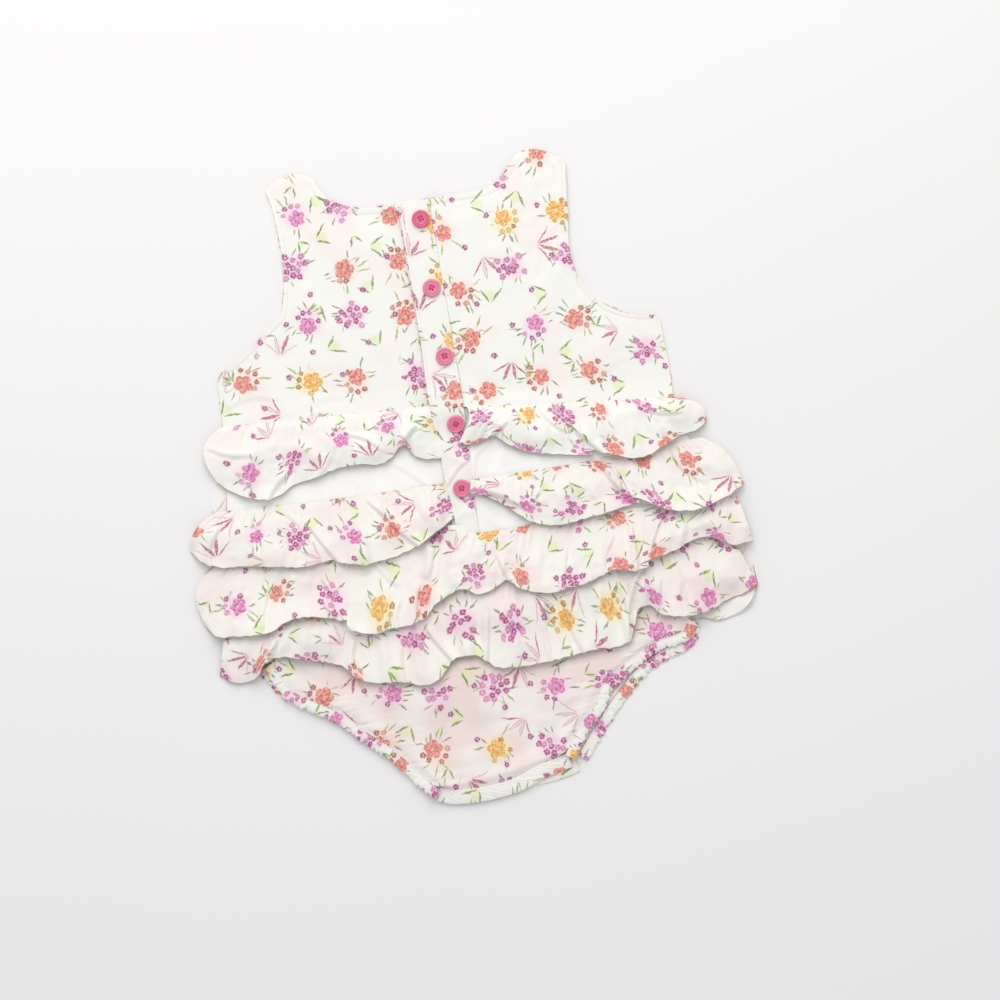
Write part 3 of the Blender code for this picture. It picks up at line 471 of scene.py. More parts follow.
class Pile:
    """The height of all that lies so far, on a square grid, so that the next piece lies on it."""

    def __init__(self):
        columns, rows = (int(2 * half / GRID) + 1 for half in GRID_HALF)
        self.top = np.zeros((columns, rows))
        self.smoothed = self.top

    def lay(self, points):
        """Adds a grid of points, and two more between each two of them."""
        corners = (points[:-1, :-1], points[1:, :-1], points[:-1, 1:], points[1:, 1:])
        for s in (0.0, 0.5, 1.0):
            for t in (0.0, 0.5, 1.0):
                weights = ((1 - s) * (1 - t), s * (1 - t), (1 - s) * t, s * t)
                self.raise_to(sum(w * c for w, c in zip(weights, corners)).reshape(-1, 3))
        self.settle()

    def raise_to(self, points):
        i, j = (np.rint((points[:, k] + GRID_HALF[k]) / GRID).astype(int) for k in (0, 1))
        np.maximum.at(self.top, (i, j), points[:, 2])

    def settle(self):
        """Spreads the heights sideways, then evens them out: cloth doesn't bend sharply."""
        def around(cells):
            reach = range(-cells, cells + 1)
            return [(i, j) for i in reach for j in reach]

        spread = np.max([np.roll(self.top, move, (0, 1)) for move in around(SPREAD_CELLS)], axis=0)
        for cells in (2, 1):
            spread = np.mean([np.roll(spread, move, (0, 1)) for move in around(cells)], axis=0)
        self.smoothed = spread

    def rest(self, x, y):
        """The height that cloth at x, y lies on: never less than what is there."""
        i, j = (x + GRID_HALF[0]) / GRID, (y + GRID_HALF[1]) / GRID
        low_i, low_j = np.floor(i).astype(int), np.floor(j).astype(int)
        s, t = i - low_i, j - low_j
        return (
            self.smoothed[low_i, low_j] * (1 - s) * (1 - t)
            + self.smoothed[low_i + 1, low_j] * s * (1 - t)
            + self.smoothed[low_i, low_j + 1] * (1 - s) * t
            + self.smoothed[low_i + 1, low_j + 1] * s * t
        )


def linear(hex_colour):
    """An sRGB hex colour as linear RGBA."""
    parts = [int(hex_colour[k:k + 2], 16) / 255 for k in (1, 3, 5)]
    return tuple(c / 12.92 if c <= 0.04045 else ((c + 0.055) / 1.055) ** 2.4 for c in parts) + (1.0,)


def add(tree, kind, inputs=(), out=0, **settings):
    """A node with its settings. Its inputs are links or values, in order or by number."""
    node = tree.nodes.new(kind)
    for key, value in settings.items():
        setattr(node, key, value)
    for number, value in (inputs.items() if isinstance(inputs, dict) else enumerate(inputs)):
        if isinstance(value, bpy.types.NodeSocket):
            tree.links.new(value, node.inputs[number])
        elif value is not None:
            node.inputs[number].default_value = value
    return node.outputs[out]


# Kinds of node that are used often, and settings that go with them
MATHS, VECTORS, TRIPLE = "ShaderNodeMath", "ShaderNodeVectorMath", "ShaderNodeCombineXYZ"
MIX, RANGE, NOISE = "ShaderNodeMix", "ShaderNodeMapRange", "ShaderNodeTexNoise"
OF_COLOURS = {"out": 2, "data_type": "RGBA"}
ON_THE_FLAT = {"noise_dimensions": "2D"}
SMOOTH = {"interpolation_type": "SMOOTHSTEP"}


def new_material(name, finish):
    """An empty node material, and its Principled shader with the finish set on its own sockets."""
    material = bpy.data.materials.new(name)
    material.use_nodes = True
    tree = material.node_tree
    shader = tree.nodes["Principled BSDF"]
    for socket, value in finish.items():
        shader.inputs[socket].default_value = value
    return material, tree, shader


def colour_stops(ramp, stops):
    """Sets the colours of a ramp, each at its place along it."""
    elements = ramp.node.color_ramp.elements
    elements[0].position, elements[1].position = stops[0][0], stops[-1][0]
    for place, _ in stops[1:-1]:
        elements.new(place)
    for element, (_, colour) in zip(elements, stops):
        element.color = linear(colour)


def product(tree, *parts):
    """All parts multiplied. Of covers, it is where every one of them holds."""
    whole = parts[0]
    for part in parts[1:]:
        whole = add(tree, MATHS, (whole, part), operation="MULTIPLY")
    return whole


def scattered(tree, place, pitch, shift, jitter):
    """Motifs on a loose grid: x and y from the nearest one's middle, and its kind, turn and seed."""
    moved = add(tree, VECTORS, (place, (*shift, 0.0)), operation="ADD")
    cells = add(
        tree, "ShaderNodeTexVoronoi", {0: moved, 2: 1.0 / pitch, 8: jitter},
        voronoi_dimensions="2D", feature="F1", distance="EUCLIDEAN",
    ).node
    local = add(tree, VECTORS, (moved, cells.outputs["Position"]), operation="SUBTRACT")
    x, y = add(tree, "ShaderNodeSeparateXYZ", (local,)).node.outputs[:2]
    kind, turn, seed = add(tree, "ShaderNodeSeparateColor", (cells.outputs["Color"],)).node.outputs[:3]
    return x, y, kind, product(tree, turn, FULL_TURN), seed


def polar(tree, x, y, turn):
    """Radius and angle of a point, with the angle turned."""
    radius = add(tree, VECTORS, (add(tree, TRIPLE, (x, y, 0.0)),), out=1, operation="LENGTH")
    angle = add(tree, MATHS, (y, x), operation="ARCTAN2")
    return radius, add(tree, MATHS, (angle, turn), operation="ADD")


def from_polar(tree, radius, angle):
    """How far a point lies along the way that its angle is measured from, and how far beside it."""
    along, beside = (
        product(tree, radius, add(tree, MATHS, (angle,), operation=share)) for share in ("COSINE", "SINE")
    )
    return along, beside


def shared_out(tree, angle, share):
    """Splits a turn into shares: the angle from the middle of its share, and the share's number."""
    shares = add(tree, MATHS, (angle, share), operation="DIVIDE")
    number = add(tree, MATHS, (shares,), operation="FLOOR")
    middle = add(tree, MATHS, (number, 0.5), operation="ADD")
    off = add(tree, MATHS, (shares, middle), operation="SUBTRACT")
    return product(tree, off, share), number


def chances(tree, number, seed):
    """Three chance numbers for each share of each motif."""
    key = add(tree, TRIPLE, (number, seed, 0.0))
    colour = add(tree, "ShaderNodeTexWhiteNoise", (key,), out=1, **ON_THE_FLAT)
    return add(tree, "ShaderNodeSeparateColor", (colour,)).node.outputs[:3]


def round_petals(tree, x, y, turn, ring, size, soft):
    """Five round petals in a ring: their cover, and the distances from the nearest petal's middle
    and from the middle of the flower."""
    radius, angle = polar(tree, x, y, turn)
    off = add(tree, MATHS, (angle, math.pi / 5), operation="PINGPONG")
    along, beside = from_polar(tree, radius, off)
    past_ring = add(tree, MATHS, (along, ring), operation="SUBTRACT")
    from_petal = add(tree, TRIPLE, (past_ring, beside, 0.0))
    distance = add(tree, VECTORS, (from_petal,), out=1, operation="LENGTH")
    cover = add(tree, RANGE, (distance, size + soft, size - soft, 0.0, 1.0), **SMOOTH)
    return cover, distance, radius


def leaf_blade(tree, along, beside, start, length, swell):
    """A narrow leaf along one axis, pointed at both ends: how far inside it a point is, in mm.

    Swell is four times half its greatest width."""
    gone = add(tree, MATHS, (along, start), operation="SUBTRACT")
    share = add(tree, MATHS, (gone, length), operation="DIVIDE", use_clamp=True)
    rest = add(tree, MATHS, (1.0, share), operation="SUBTRACT")
    off = add(tree, MATHS, (beside,), operation="ABSOLUTE")
    return add(tree, MATHS, (product(tree, share, rest, swell), off), operation="SUBTRACT")


def florets(tree, radius, angle, seed, share, ring, part, one_sided, larger, middle=None):
    """Florets of five round petals in a loose ring: their blush and their petals. Part of them show,
    and more on one side where one_sided is more than 0. Some are paler than others.

    Middle is the cover and the x and y of one floret more, inside the ring."""
    off, number = shared_out(tree, angle, share)
    near, ring_chance, spin = chances(tree, number, seed)
    side = add(tree, MATHS, (product(tree, number, share),), operation="COSINE")
    part = add(tree, MATHS, (side, one_sided, part), operation="MULTIPLY_ADD")
    ring = add(tree, MATHS, (add(tree, RANGE, (ring_chance, 0.0, 1.0, -1.2, 1.2)), ring), operation="ADD")
    along, fy = from_polar(tree, radius, off)
    fx = add(tree, MATHS, (along, ring), operation="SUBTRACT")
    spare = add(tree, MATHS, (part, near), operation="SUBTRACT")
    shown = add(tree, RANGE, (spare, -SHARP, SHARP, 0.0, 1.0))
    if middle:
        cover, x, y = middle
        fx = add(tree, MIX, (cover, None, fx, x))
        fy = add(tree, MIX, (cover, None, fy, y))
        shown = add(tree, MATHS, (shown, cover), operation="MAXIMUM")
    smaller = add(tree, MATHS, (1.0, larger), operation="DIVIDE")
    fx, fy = product(tree, fx, smaller), product(tree, fy, smaller)
    faint = add(tree, RANGE, (spin, 0.25, 0.55, 0.55, 1.0))
    petals, _, from_heart = round_petals(tree, fx, fy, product(tree, spin, FULL_TURN), 1.05, 0.74, 0.24)
    blush = add(tree, RANGE, (from_heart, 2.5, 1.2, 0.0, 0.8))
    return product(tree, blush, shown), product(tree, petals, shown, faint)


def posy_colours(tree, kind):
    """The four kinds of posy share one ramp for each ink: coral, violet, orange, magenta."""
    ramps = {}
    for part, colours in (
        ("wash", ("#FBDDD4", "#F7CFE7", "#FBE9A6", "#F9D2E7")),
        ("petal", ("#E3857F", "#D58AC2", "#F2B866", "#DF80B8")),
        ("vein", ("#BE4A54", "#A03A74", "#D08338", "#AE4086")),
        ("heart", ("#F6C6A0", "#F2B9DC", "#FBE29C", "#F5C6E0")),
        ("floret", ("#9E5865", "#AE4C80", "#A97A52", "#9A507E")),
    ):
        ramps[part] = add(tree, "ShaderNodeValToRGB", (kind,))
        ramps[part].node.color_ramp.interpolation = "CONSTANT"
        colour_stops(ramps[part], tuple(zip(POSY_KINDS, colours)))
    return ramps


def leaf_strokes(tree, radius, angle, seed):
    """Thin leaf strokes in two loose groups, on opposite sides of a posy: their cover and green."""
    share = math.radians(19)
    off, number = shared_out(tree, angle, share)
    shown, tall, lean = chances(tree, number, seed)
    group = add(tree, MATHS, (number, 2 * share, 0.9), operation="MULTIPLY_ADD")
    group = add(tree, MATHS, (group,), operation="COSINE")
    shown = add(tree, MATHS, (group, 0.42, shown), operation="MULTIPLY_ADD")
    shown = add(tree, RANGE, (shown, 0.62, 0.64, 0.0, 1.0))
    length = add(tree, RANGE, (tall, 0.0, 1.0, 4.5, 12.0))
    slant = add(tree, RANGE, (lean, 0.0, 1.0, -0.85, 0.85))
    start = add(tree, RANGE, (lean, 0.0, 1.0, 6.2, 8.6))
    along, beside = from_polar(tree, radius, off)
    past = add(tree, MATHS, (along, 9.0), operation="SUBTRACT")
    beside = add(tree, MATHS, (beside, product(tree, past, slant)), operation="SUBTRACT")
    inside = leaf_blade(tree, along, beside, start, length, 3.2)
    stroke = add(tree, RANGE, (inside, *LEAF_EDGE, 0.0, 0.95))
    fresh = add(tree, RANGE, (tall, 0.66, 0.68, 0.0, 1.0))
    green = add(tree, MIX, {0: fresh, 6: linear("#7F8D6B"), 7: linear("#A3B768")}, **OF_COLOURS)
    return product(tree, stroke, shown), green


def round_bloom(tree, place, radius, angle, seed, shown, ramps):
    """One round bloom beside a posy's middle, with mottled petals in two rings."""
    size, off_middle, spin = chances(tree, seed, 9.1)
    bx, by = from_polar(tree, radius, angle)
    bx = add(tree, MATHS, (bx, add(tree, RANGE, (off_middle, 0.0, 1.0, 0.8, 2.6))), operation="ADD")
    smaller = add(tree, RANGE, (size, 0.0, 1.0, 0.98, 0.76))
    bx, by = product(tree, bx, smaller), product(tree, by, smaller)
    spin = product(tree, spin, FULL_TURN)
    outer, from_petal, from_heart = round_petals(tree, bx, by, spin, 3.0, 2.1, 0.35)
    turned = add(tree, MATHS, (spin, math.pi / 5), operation="ADD")
    inner, from_inner, _ = round_petals(tree, bx, by, turned, 1.45, 1.15, 0.3)
    whole = add(tree, MATHS, (outer, inner), operation="MAXIMUM")
    blotch = add(tree, NOISE, {0: place, 2: 0.6, 3: 1.0}, **ON_THE_FLAT)
    light = add(tree, RANGE, (blotch, 0.47, 0.36, 0.0, 0.75))
    dark = add(tree, RANGE, (blotch, 0.47, 0.56, 0.0, 0.9))
    outer_edge = add(tree, RANGE, (from_petal, 1.1, 1.9, 0.2, 0.9))
    inner_edge = add(tree, RANGE, (from_inner, 0.7, 1.15, 0.0, 0.85))
    heart = add(tree, RANGE, (from_heart, 0.95, 0.5, 0.0, 0.9))
    return [
        (product(tree, whole, shown), ramps["petal"]),
        (product(tree, light, whole, shown), ramps["heart"]),
        (product(tree, outer_edge, dark, outer, shown), ramps["vein"]),
        (product(tree, inner_edge, inner, shown), ramps["vein"]),
        (product(tree, heart, shown), ramps["heart"]),
    ]


def posies(tree, place):
    """Posies: a round bloom with a few florets beside it, or a close cluster of violets, and leaf
    strokes round either."""
    x, y, kind, turn, seed = scattered(tree, place, POSY_PITCH, (0.0, 0.0), 0.3)
    ramps = posy_colours(tree, kind)
    _, violets, oranges, _ = POSY_KINDS
    violet = product(
        tree, add(tree, RANGE, (kind, violets - 0.001, violets + 0.001, 0.0, 1.0)),
        add(tree, RANGE, (kind, oranges - 0.001, oranges + 0.001, 1.0, 0.0)),
    )
    not_violet = add(tree, MATHS, (1.0, violet), operation="SUBTRACT")
    radius, angle = polar(tree, x, y, turn)
    wash = add(tree, RANGE, (radius, 11.5, 4.0, 0.0, 0.8), **SMOOTH)

    # The outer florets: in a cluster all round it, and beside a bloom mostly on one side
    part, one_sided, ring, larger = (
        add(tree, RANGE, (violet, 0.0, 1.0, *ends))
        for ends in ((0.32, 0.55), (0.6, 0.0), (7.4, 8.1), (1.05, 1.22))
    )
    turned = add(tree, MATHS, (angle, 0.4), operation="ADD")
    further = add(tree, MATHS, (seed, 3.7), operation="ADD")
    blush, petals = florets(
        tree, radius, turned, further, math.radians(36), ring, part, one_sided, larger
    )

    # The inner ones, which only a cluster has
    middle = add(tree, RANGE, (radius, 2.25, 2.2, 0.0, 1.0))
    inner_blush, inner_petals = florets(
        tree, radius, angle, seed, math.radians(60), 4.4, 0.85, 0.0, 1.2, (middle, x, y)
    )
    near = product(tree, violet, add(tree, RANGE, (radius, 6.9, 6.8, 0.0, 1.0)))
    return [
        leaf_strokes(tree, radius, angle, seed),
        (wash, ramps["wash"]),
        (blush, ramps["heart"]),
        (petals, ramps["floret"]),
        (product(tree, inner_blush, near), ramps["heart"]),
        (product(tree, inner_petals, near), ramps["vein"]),
        *round_bloom(tree, place, radius, angle, seed, not_violet, ramps),
    ]


def sprigs(tree, place):
    """Between the posies: a pair of leaves in a V, or a fan of three or four narrow ones."""
    x, y, kind, turn, seed = scattered(tree, place, POSY_PITCH, (POSY_PITCH / 2, POSY_PITCH / 2), 0.22)
    radius, angle = polar(tree, x, y, turn)
    angle = add(tree, MATHS, (angle, math.pi, -math.pi), operation="WRAP")
    fan = add(tree, RANGE, (kind, 0.61, 0.62, 0.0, 1.0))
    pair = add(tree, MATHS, (1.0, fan), operation="SUBTRACT")
    share, limit, longer, swell = (
        add(tree, RANGE, (fan, 0.0, 1.0, *ends)) for ends in (
            (math.radians(72), math.radians(36)), (math.radians(72), math.radians(54)),
            (1.0, 1.2), (3.6, 5.2),
        )
    )
    off, number = shared_out(tree, angle, share)
    outline, tall, _ = chances(tree, number, seed)
    length = product(tree, add(tree, RANGE, (tall, 0.0, 1.0, 10.0, 14.5)), longer)
    inside = leaf_blade(tree, *from_polar(tree, radius, off), 0.6, length, swell)
    blade = add(tree, RANGE, (inside, *LEAF_EDGE, 0.0, 1.0))
    open_by = add(tree, MATHS, (angle,), operation="ABSOLUTE")
    spare = add(tree, MATHS, (limit, open_by), operation="SUBTRACT")
    within = add(tree, RANGE, (spare, -SHARP, SHARP, 0.0, 1.0))
    outlined = add(tree, RANGE, (outline, 0.36, 0.38, 1.0, 0.0))
    hollow = product(tree, fan, outlined, add(tree, RANGE, (inside, 0.3, 0.55, 0.0, 0.75)))
    leaf = product(tree, blade, within, add(tree, MATHS, (1.0, hollow), operation="SUBTRACT"))

    # The wash lies in front of the stalk, between the leaves.
    wx, wy = from_polar(tree, radius, angle)
    wx = add(tree, MATHS, (wx, 5.0), operation="SUBTRACT")
    distance = add(tree, VECTORS, (add(tree, TRIPLE, (wx, wy, 0.0)),), out=1, operation="LENGTH")
    wash = add(tree, RANGE, (distance, 5.4, 2.2, 0.0, 0.55), **SMOOTH)
    blush = add(tree, RANGE, (distance, 9.0, 3.0, 0.0, 0.35), **SMOOTH)
    return [
        (product(tree, wash, pair), LEAF_WASH),
        (product(tree, blush, fan), "#F9D5D8"),
        (product(tree, leaf, pair), LEAF_GREEN),
        (product(tree, leaf, fan), "#B8667F"),
    ]


def blossoms(tree, place):
    """Tiny five-petalled blossoms, halfway between the posies, and here and there two small leaves."""
    slanted = add(tree, "ShaderNodeVectorRotate", {0: place, 3: math.pi / 4}, rotation_type="Z_AXIS")
    pitch = POSY_PITCH / math.sqrt(2)
    x, y, kind, turn, _ = scattered(tree, slanted, pitch, (pitch / 2, 0.0), 0.16)
    flowering = add(tree, RANGE, (kind, 0.4, 0.41, 0.0, 1.0))
    leafy = add(tree, RANGE, (kind, 0.24, 0.25, 1.0, 0.0))
    petals, _, radius = round_petals(tree, x, y, turn, 1.15, 0.8, 0.24)
    blush = add(tree, RANGE, (radius, 3.6, 1.2, 0.0, 0.7), **SMOOTH)

    # Two leaves, mirrored about the way they point, with their wash between them
    _, angle = polar(tree, x, y, turn)
    angle = add(tree, MATHS, (angle, math.pi, -math.pi), operation="WRAP")
    angle = add(tree, MATHS, (angle,), operation="ABSOLUTE")
    off = add(tree, MATHS, (angle, 0.52), operation="SUBTRACT")
    inside = leaf_blade(tree, *from_polar(tree, radius, off), 0.4, 8.5, 3.2)
    leaf = add(tree, RANGE, (inside, *LEAF_EDGE, 0.0, 1.0))
    between = add(tree, RANGE, (angle, 0.75, 0.3, 0.0, 1.0))
    wash = add(tree, RANGE, (radius, 6.5, 3.0, 0.0, 0.5), **SMOOTH)
    return [
        (product(tree, blush, flowering), "#F6D3E6"),
        (product(tree, petals, flowering), "#94507A"),
        (product(tree, wash, between, leafy), LEAF_WASH),
        (product(tree, leaf, leafy), LEAF_GREEN),
    ]


def poplin(name, shades, printed=True, wrong_side=False, crinkle=0.35):
    """Cotton poplin, plain woven and washed: matt, near white, a little rough, with a faint weave and
    small creases. The print's inks are soft at their edges, and the wrong side shows them faintly.
    Where printed layers lie below, the shades given paint in a little of their pink glowing through:
    painted light."""
    material, tree, shader = new_material(name, {
        "Roughness": 0.88, "Sheen Weight": 0.18, "Sheen Roughness": 0.5, "Specular IOR Level": 0.25,
    })
    cut = add(tree, "ShaderNodeUVMap", uv_map="cut")
    place = add(tree, VECTORS, {0: cut, 3: 1 / MM}, operation="SCALE")
    # With the tier and seat shades, the pink of this mottle is painted glow of the print below.
    mottle = add(tree, NOISE, {0: place, 2: 1 / 34.0, 3: 1.0}, **ON_THE_FLAT)
    colour = add(tree, "ShaderNodeValToRGB", (mottle,))
    colour_stops(colour, tuple(zip((0.36, 0.48, 0.66), shades)))
    if printed:
        # The inks bleed by a fraction of a millimetre, and take unevenly, as watercolour does.
        bleed = add(tree, NOISE, {0: place, 2: 0.3, 3: 1.0}, out=1, **ON_THE_FLAT)
        bleed = add(tree, VECTORS, (bleed, (-0.5, -0.5, 0.0)), operation="ADD")
        bleed = add(tree, VECTORS, {0: bleed, 3: 1.5}, operation="SCALE")
        bled = add(tree, VECTORS, (place, bleed), operation="ADD")
        grain = add(tree, NOISE, {0: place, 2: 0.7, 3: 2.0}, **ON_THE_FLAT)
        grain = add(tree, RANGE, (grain, 0.34, 0.58, 0.58, 0.95))
        for cover, ink in sprigs(tree, bled) + posies(tree, bled) + blossoms(tree, bled):
            ink = linear(ink) if isinstance(ink, str) else ink
            colour = add(tree, MIX, {0: product(tree, cover, grain), 6: colour, 7: ink}, **OF_COLOURS)
        if wrong_side:
            colour = add(tree, MIX, {0: 0.5, 6: colour, 7: linear("#FBF6F2")}, **OF_COLOURS)
    tree.links.new(colour, shader.inputs["Base Color"])
    # A wave texture's bands lie 2 pi / 20 of its size apart.
    bands = 2 * math.pi / 20 / THREAD_PITCH
    weave = add(tree, MATHS, [
        add(tree, "ShaderNodeTexWave", {0: place, 1: bands, 2: 0.6, 3: 1.0}, out=1, bands_direction=way)
        for way in ("X", "Y")
    ], operation="MAXIMUM")
    creases = add(tree, NOISE, {0: place, 2: 1 / 7.0, 3: 3.0, 4: 0.55}, **ON_THE_FLAT)
    bumps = add(tree, "ShaderNodeBump", {0: crinkle, 1: 0.6 * MM, 3: creases})
    bumps = add(tree, "ShaderNodeBump", {0: 0.12, 1: 0.1 * MM, 3: weave, 4: bumps})
    tree.links.new(bumps, shader.inputs["Normal"])
    return material


def sewing_thread(name, colour):
    """Spun polyester sewing thread: matt, a little hairy, in one colour with a darker twist."""
    material, tree, shader = new_material(name, {"Roughness": 0.7})
    place = add(tree, "ShaderNodeTexCoord", out=3)
    twist = add(tree, NOISE, {0: place, 2: 1 / (1.2 * MM), 3: 1.0})
    shade = add(tree, RANGE, (twist, 0.3, 0.7, 0.35, 0.0))
    dark = tuple(0.55 * c for c in linear(colour)[:3]) + (1.0,)
    tinted = add(tree, MIX, {0: shade, 6: linear(colour), 7: dark}, **OF_COLOURS)
    tree.links.new(tinted, shader.inputs["Base Color"])
    return material


def polyester_button(name, deeper):
    """Cast polyester, turned and polished: pink in rings, darker in the groove round the middle and
    palest on the rim's top, a painted reflection, with a soft gloss. Buttons of one card differ in depth."""
    material, tree, shader = new_material(name, {"Roughness": 0.28, "IOR": 1.54})
    cut = add(tree, "ShaderNodeUVMap", uv_map="cut")
    radius = add(tree, VECTORS, (cut,), out=1, operation="LENGTH")
    rings = add(
        tree, "ShaderNodeValToRGB", (add(tree, MATHS, (radius, BUTTON_RADIUS * MM), operation="DIVIDE"),)
    )
    # The palest ring, at 0.78, lies on the rim's top: a painted reflection. The dark ring at 0.7 lies in
    # the groove.
    colour_stops(rings, (
        (0.0, "#DC5A82"), (0.3, "#D9537D"), (0.44, "#E27C9B"), (0.62, "#E5869F"), (0.7, "#D4577F"),
        (0.78, "#E998B0"), (1.0, "#E27F9E"),
    ))
    cloud = add(tree, NOISE, {0: cut, 2: 1 / (4.0 * MM), 3: 2.0})
    cloud = add(tree, RANGE, (cloud, 0.35, 0.7, 0.0, 0.35))
    tinted = add(tree, MIX, {0: cloud, 6: rings, 7: linear("#E56A93")}, **OF_COLOURS)
    tinted = add(tree, MIX, {0: deeper, 6: tinted, 7: linear("#CE3E70")}, **OF_COLOURS)
    tree.links.new(tinted, shader.inputs["Base Color"])
    return material


def studio_board():
    """Matt white board: even, with a very faint unevenness from handling."""
    finish = {"Roughness": 0.95, "Specular IOR Level": 0.1}
    material, tree, shader = new_material("matt_white_board", finish)
    place = add(tree, "ShaderNodeTexCoord", out=3)
    cloud = add(tree, NOISE, {0: place, 2: 3.0, 3: 2.0})
    tone = add(tree, MIX, {0: cloud, 6: linear("#F2F1F1"), 7: linear("#F5F4F4")}, **OF_COLOURS)
    tree.links.new(tone, shader.inputs["Base Color"])
    return material


def stitch_tree():
    """Stitches along every line of a path: each lies the way that the path's "lie" attribute points.
    Where a cord's radius is given, a cord of looped thread runs below them."""
    tree = bpy.data.node_groups.new("stitches", "GeometryNodeTree")
    sockets = {}
    for name, kind in (
        ("path", "Geometry"), ("spacing", "Float"), ("length", "Float"), ("thickness", "Float"),
        ("cord", "Float"), ("thread", "Material"),
    ):
        socket = tree.interface.new_socket(name, in_out="INPUT", socket_type="NodeSocket" + kind)
        sockets[name] = socket.identifier
    tree.interface.new_socket("stitches", in_out="OUTPUT", socket_type="NodeSocketGeometry")
    given = tree.nodes.new("NodeGroupInput").outputs
    line = add(tree, "GeometryNodeMeshToCurve", (given["path"],))
    line = add(tree, "GeometryNodeResampleCurve", {0: line, 3: given["spacing"]}, mode="LENGTH")
    lie = add(tree, "GeometryNodeInputNamedAttribute", ("lie",), data_type="FLOAT_VECTOR")
    turned = add(tree, "FunctionNodeAlignRotationToVector", {2: lie}, axis="X")
    half_length = add(tree, MATHS, (given["length"], 0.5), operation="MULTIPLY")
    half_thickness = add(tree, MATHS, (given["thickness"], 0.5), operation="MULTIPLY")
    size = add(tree, TRIPLE, (half_length, half_thickness, half_thickness))
    stitch = add(tree, "GeometryNodeMeshUVSphere", (6, 5, 1.0))
    stitches = add(tree, "GeometryNodeInstanceOnPoints", {0: line, 2: stitch, 5: turned, 6: size})
    stitches = add(tree, "GeometryNodeRealizeInstances", (stitches,))
    round_it = add(tree, "GeometryNodeCurvePrimitiveCircle", {0: 6, 4: given["cord"]}, mode="RADIUS")
    cord = add(tree, "GeometryNodeCurveToMesh", (line, round_it))
    cord = add(tree, "GeometryNodeSwitch", {0: given["cord"], 2: cord}, input_type="GEOMETRY")
    together = add(tree, "GeometryNodeJoinGeometry", (stitches,))
    tree.links.new(cord, together.node.inputs[0])
    smooth = add(tree, "GeometryNodeSetShadeSmooth", (together,))
    threaded = add(tree, "GeometryNodeSetMaterial", {0: smooth, 2: given["thread"]})
    tree.links.new(threaded, tree.nodes.new("NodeGroupOutput").inputs[0])
    return tree, sockets


def link(name, mesh):
    piece = bpy.data.objects.new(name, mesh)
    bpy.context.scene.collection.objects.link(piece)
    return piece


def plain_mesh(guide, *helpers):
    """The finished shape of a guide as a plain mesh. The guide and its helpers are removed."""
    bpy.context.view_layer.update()
    depsgraph = bpy.context.evaluated_depsgraph_get()
    mesh = bpy.data.meshes.new_from_object(guide.evaluated_get(depsgraph), depsgraph=depsgraph)
    for used in (guide, *helpers):
        bpy.data.objects.remove(used, do_unlink=True)
    return mesh


def in_order(mesh):
    """The same shape with its points and faces in one order, which a boolean doesn't keep."""
    micrometre = 0.001 * MM
    points = sorted(
        (tuple(vertex.co) + (vertex.index,) for vertex in mesh.vertices),
        key=lambda point: [round(c / micrometre) for c in point[:3]],
    )
    number = {point[3]: new for new, point in enumerate(points)}
    faces = []
    for polygon in mesh.polygons:
        corners = [number[old] for old in polygon.vertices]
        first = corners.index(min(corners))
        faces.append(corners[first:] + corners[:first])
    ordered = bpy.data.meshes.new(mesh.name)
    ordered.from_pydata([point[:3] for point in points], [], sorted(faces))
    return ordered


def lay_uv(mesh, cut):
    """A mesh's flat cut, in metres for each of its points, as its UV map."""
    corners = np.empty(len(mesh.loops), int)
    mesh.loops.foreach_get("vertex_index", corners)
    mesh.uv_layers.new(name="cut").data.foreach_set("uv", cut[corners].ravel())


def sewn(sewing, name, lines, spacing, length, thickness, thread, cord=0.0):
    """A piece of stitches on lines, each of points and of the way that the stitches lie there, in mm."""
    tree, sockets = sewing
    mesh = bpy.data.meshes.new(name + "_path")
    points = np.vstack([line for line, _ in lines]) * MM
    edges, first = [], 0
    for line, _ in lines:
        edges += [(first + k, first + k + 1) for k in range(len(line) - 1)]
        first += len(line)
    mesh.from_pydata(points.tolist(), edges, [])
    lie = mesh.attributes.new("lie", "FLOAT_VECTOR", "POINT")
    lie.data.foreach_set("vector", np.vstack([way for _, way in lines]).ravel())
    path = link(name + "_path", mesh)
    nodes = path.modifiers.new("stitches", "NODES")
    nodes.node_group = tree
    for key, value in (
        ("spacing", spacing * MM), ("length", length * MM), ("thickness", thickness * MM),
        ("cord", cord * MM), ("thread", thread),
    ):
        nodes[sockets[key]] = value
    stitches = plain_mesh(path)
    stitches.name = name
    piece = link(name, stitches)
    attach(piece, "root")
    return piece


def cloth_mesh(name, points, faces, cut, materials):
    """A sheet of cloth round its middle points, its flat cut as UV map, walled with Solidify."""
    mesh = bpy.data.meshes.new(name)
    mesh.from_pydata((points * MM).tolist(), [], faces.tolist())
    lay_uv(mesh, cut * MM)
    mesh.shade_smooth()
    # The cut edges are sharp, so that the walls round them don't shade the cloth beside them.
    sides = np.empty(len(mesh.loops), int)
    mesh.loops.foreach_get("edge_index", sides)
    cut_edge = np.bincount(sides, minlength=len(mesh.edges)) == 1
    mesh.attributes.new("sharp_edge", "BOOLEAN", "EDGE").data.foreach_set("value", cut_edge)
    for material in materials:
        mesh.materials.append(material)
    piece = link(name, mesh)
    thickness = piece.modifiers.new("cloth", "SOLIDIFY")
    thickness.thickness = CLOTH * MM
    thickness.offset = 0.0
    thickness.material_offset = len(materials) - 1
    return piece


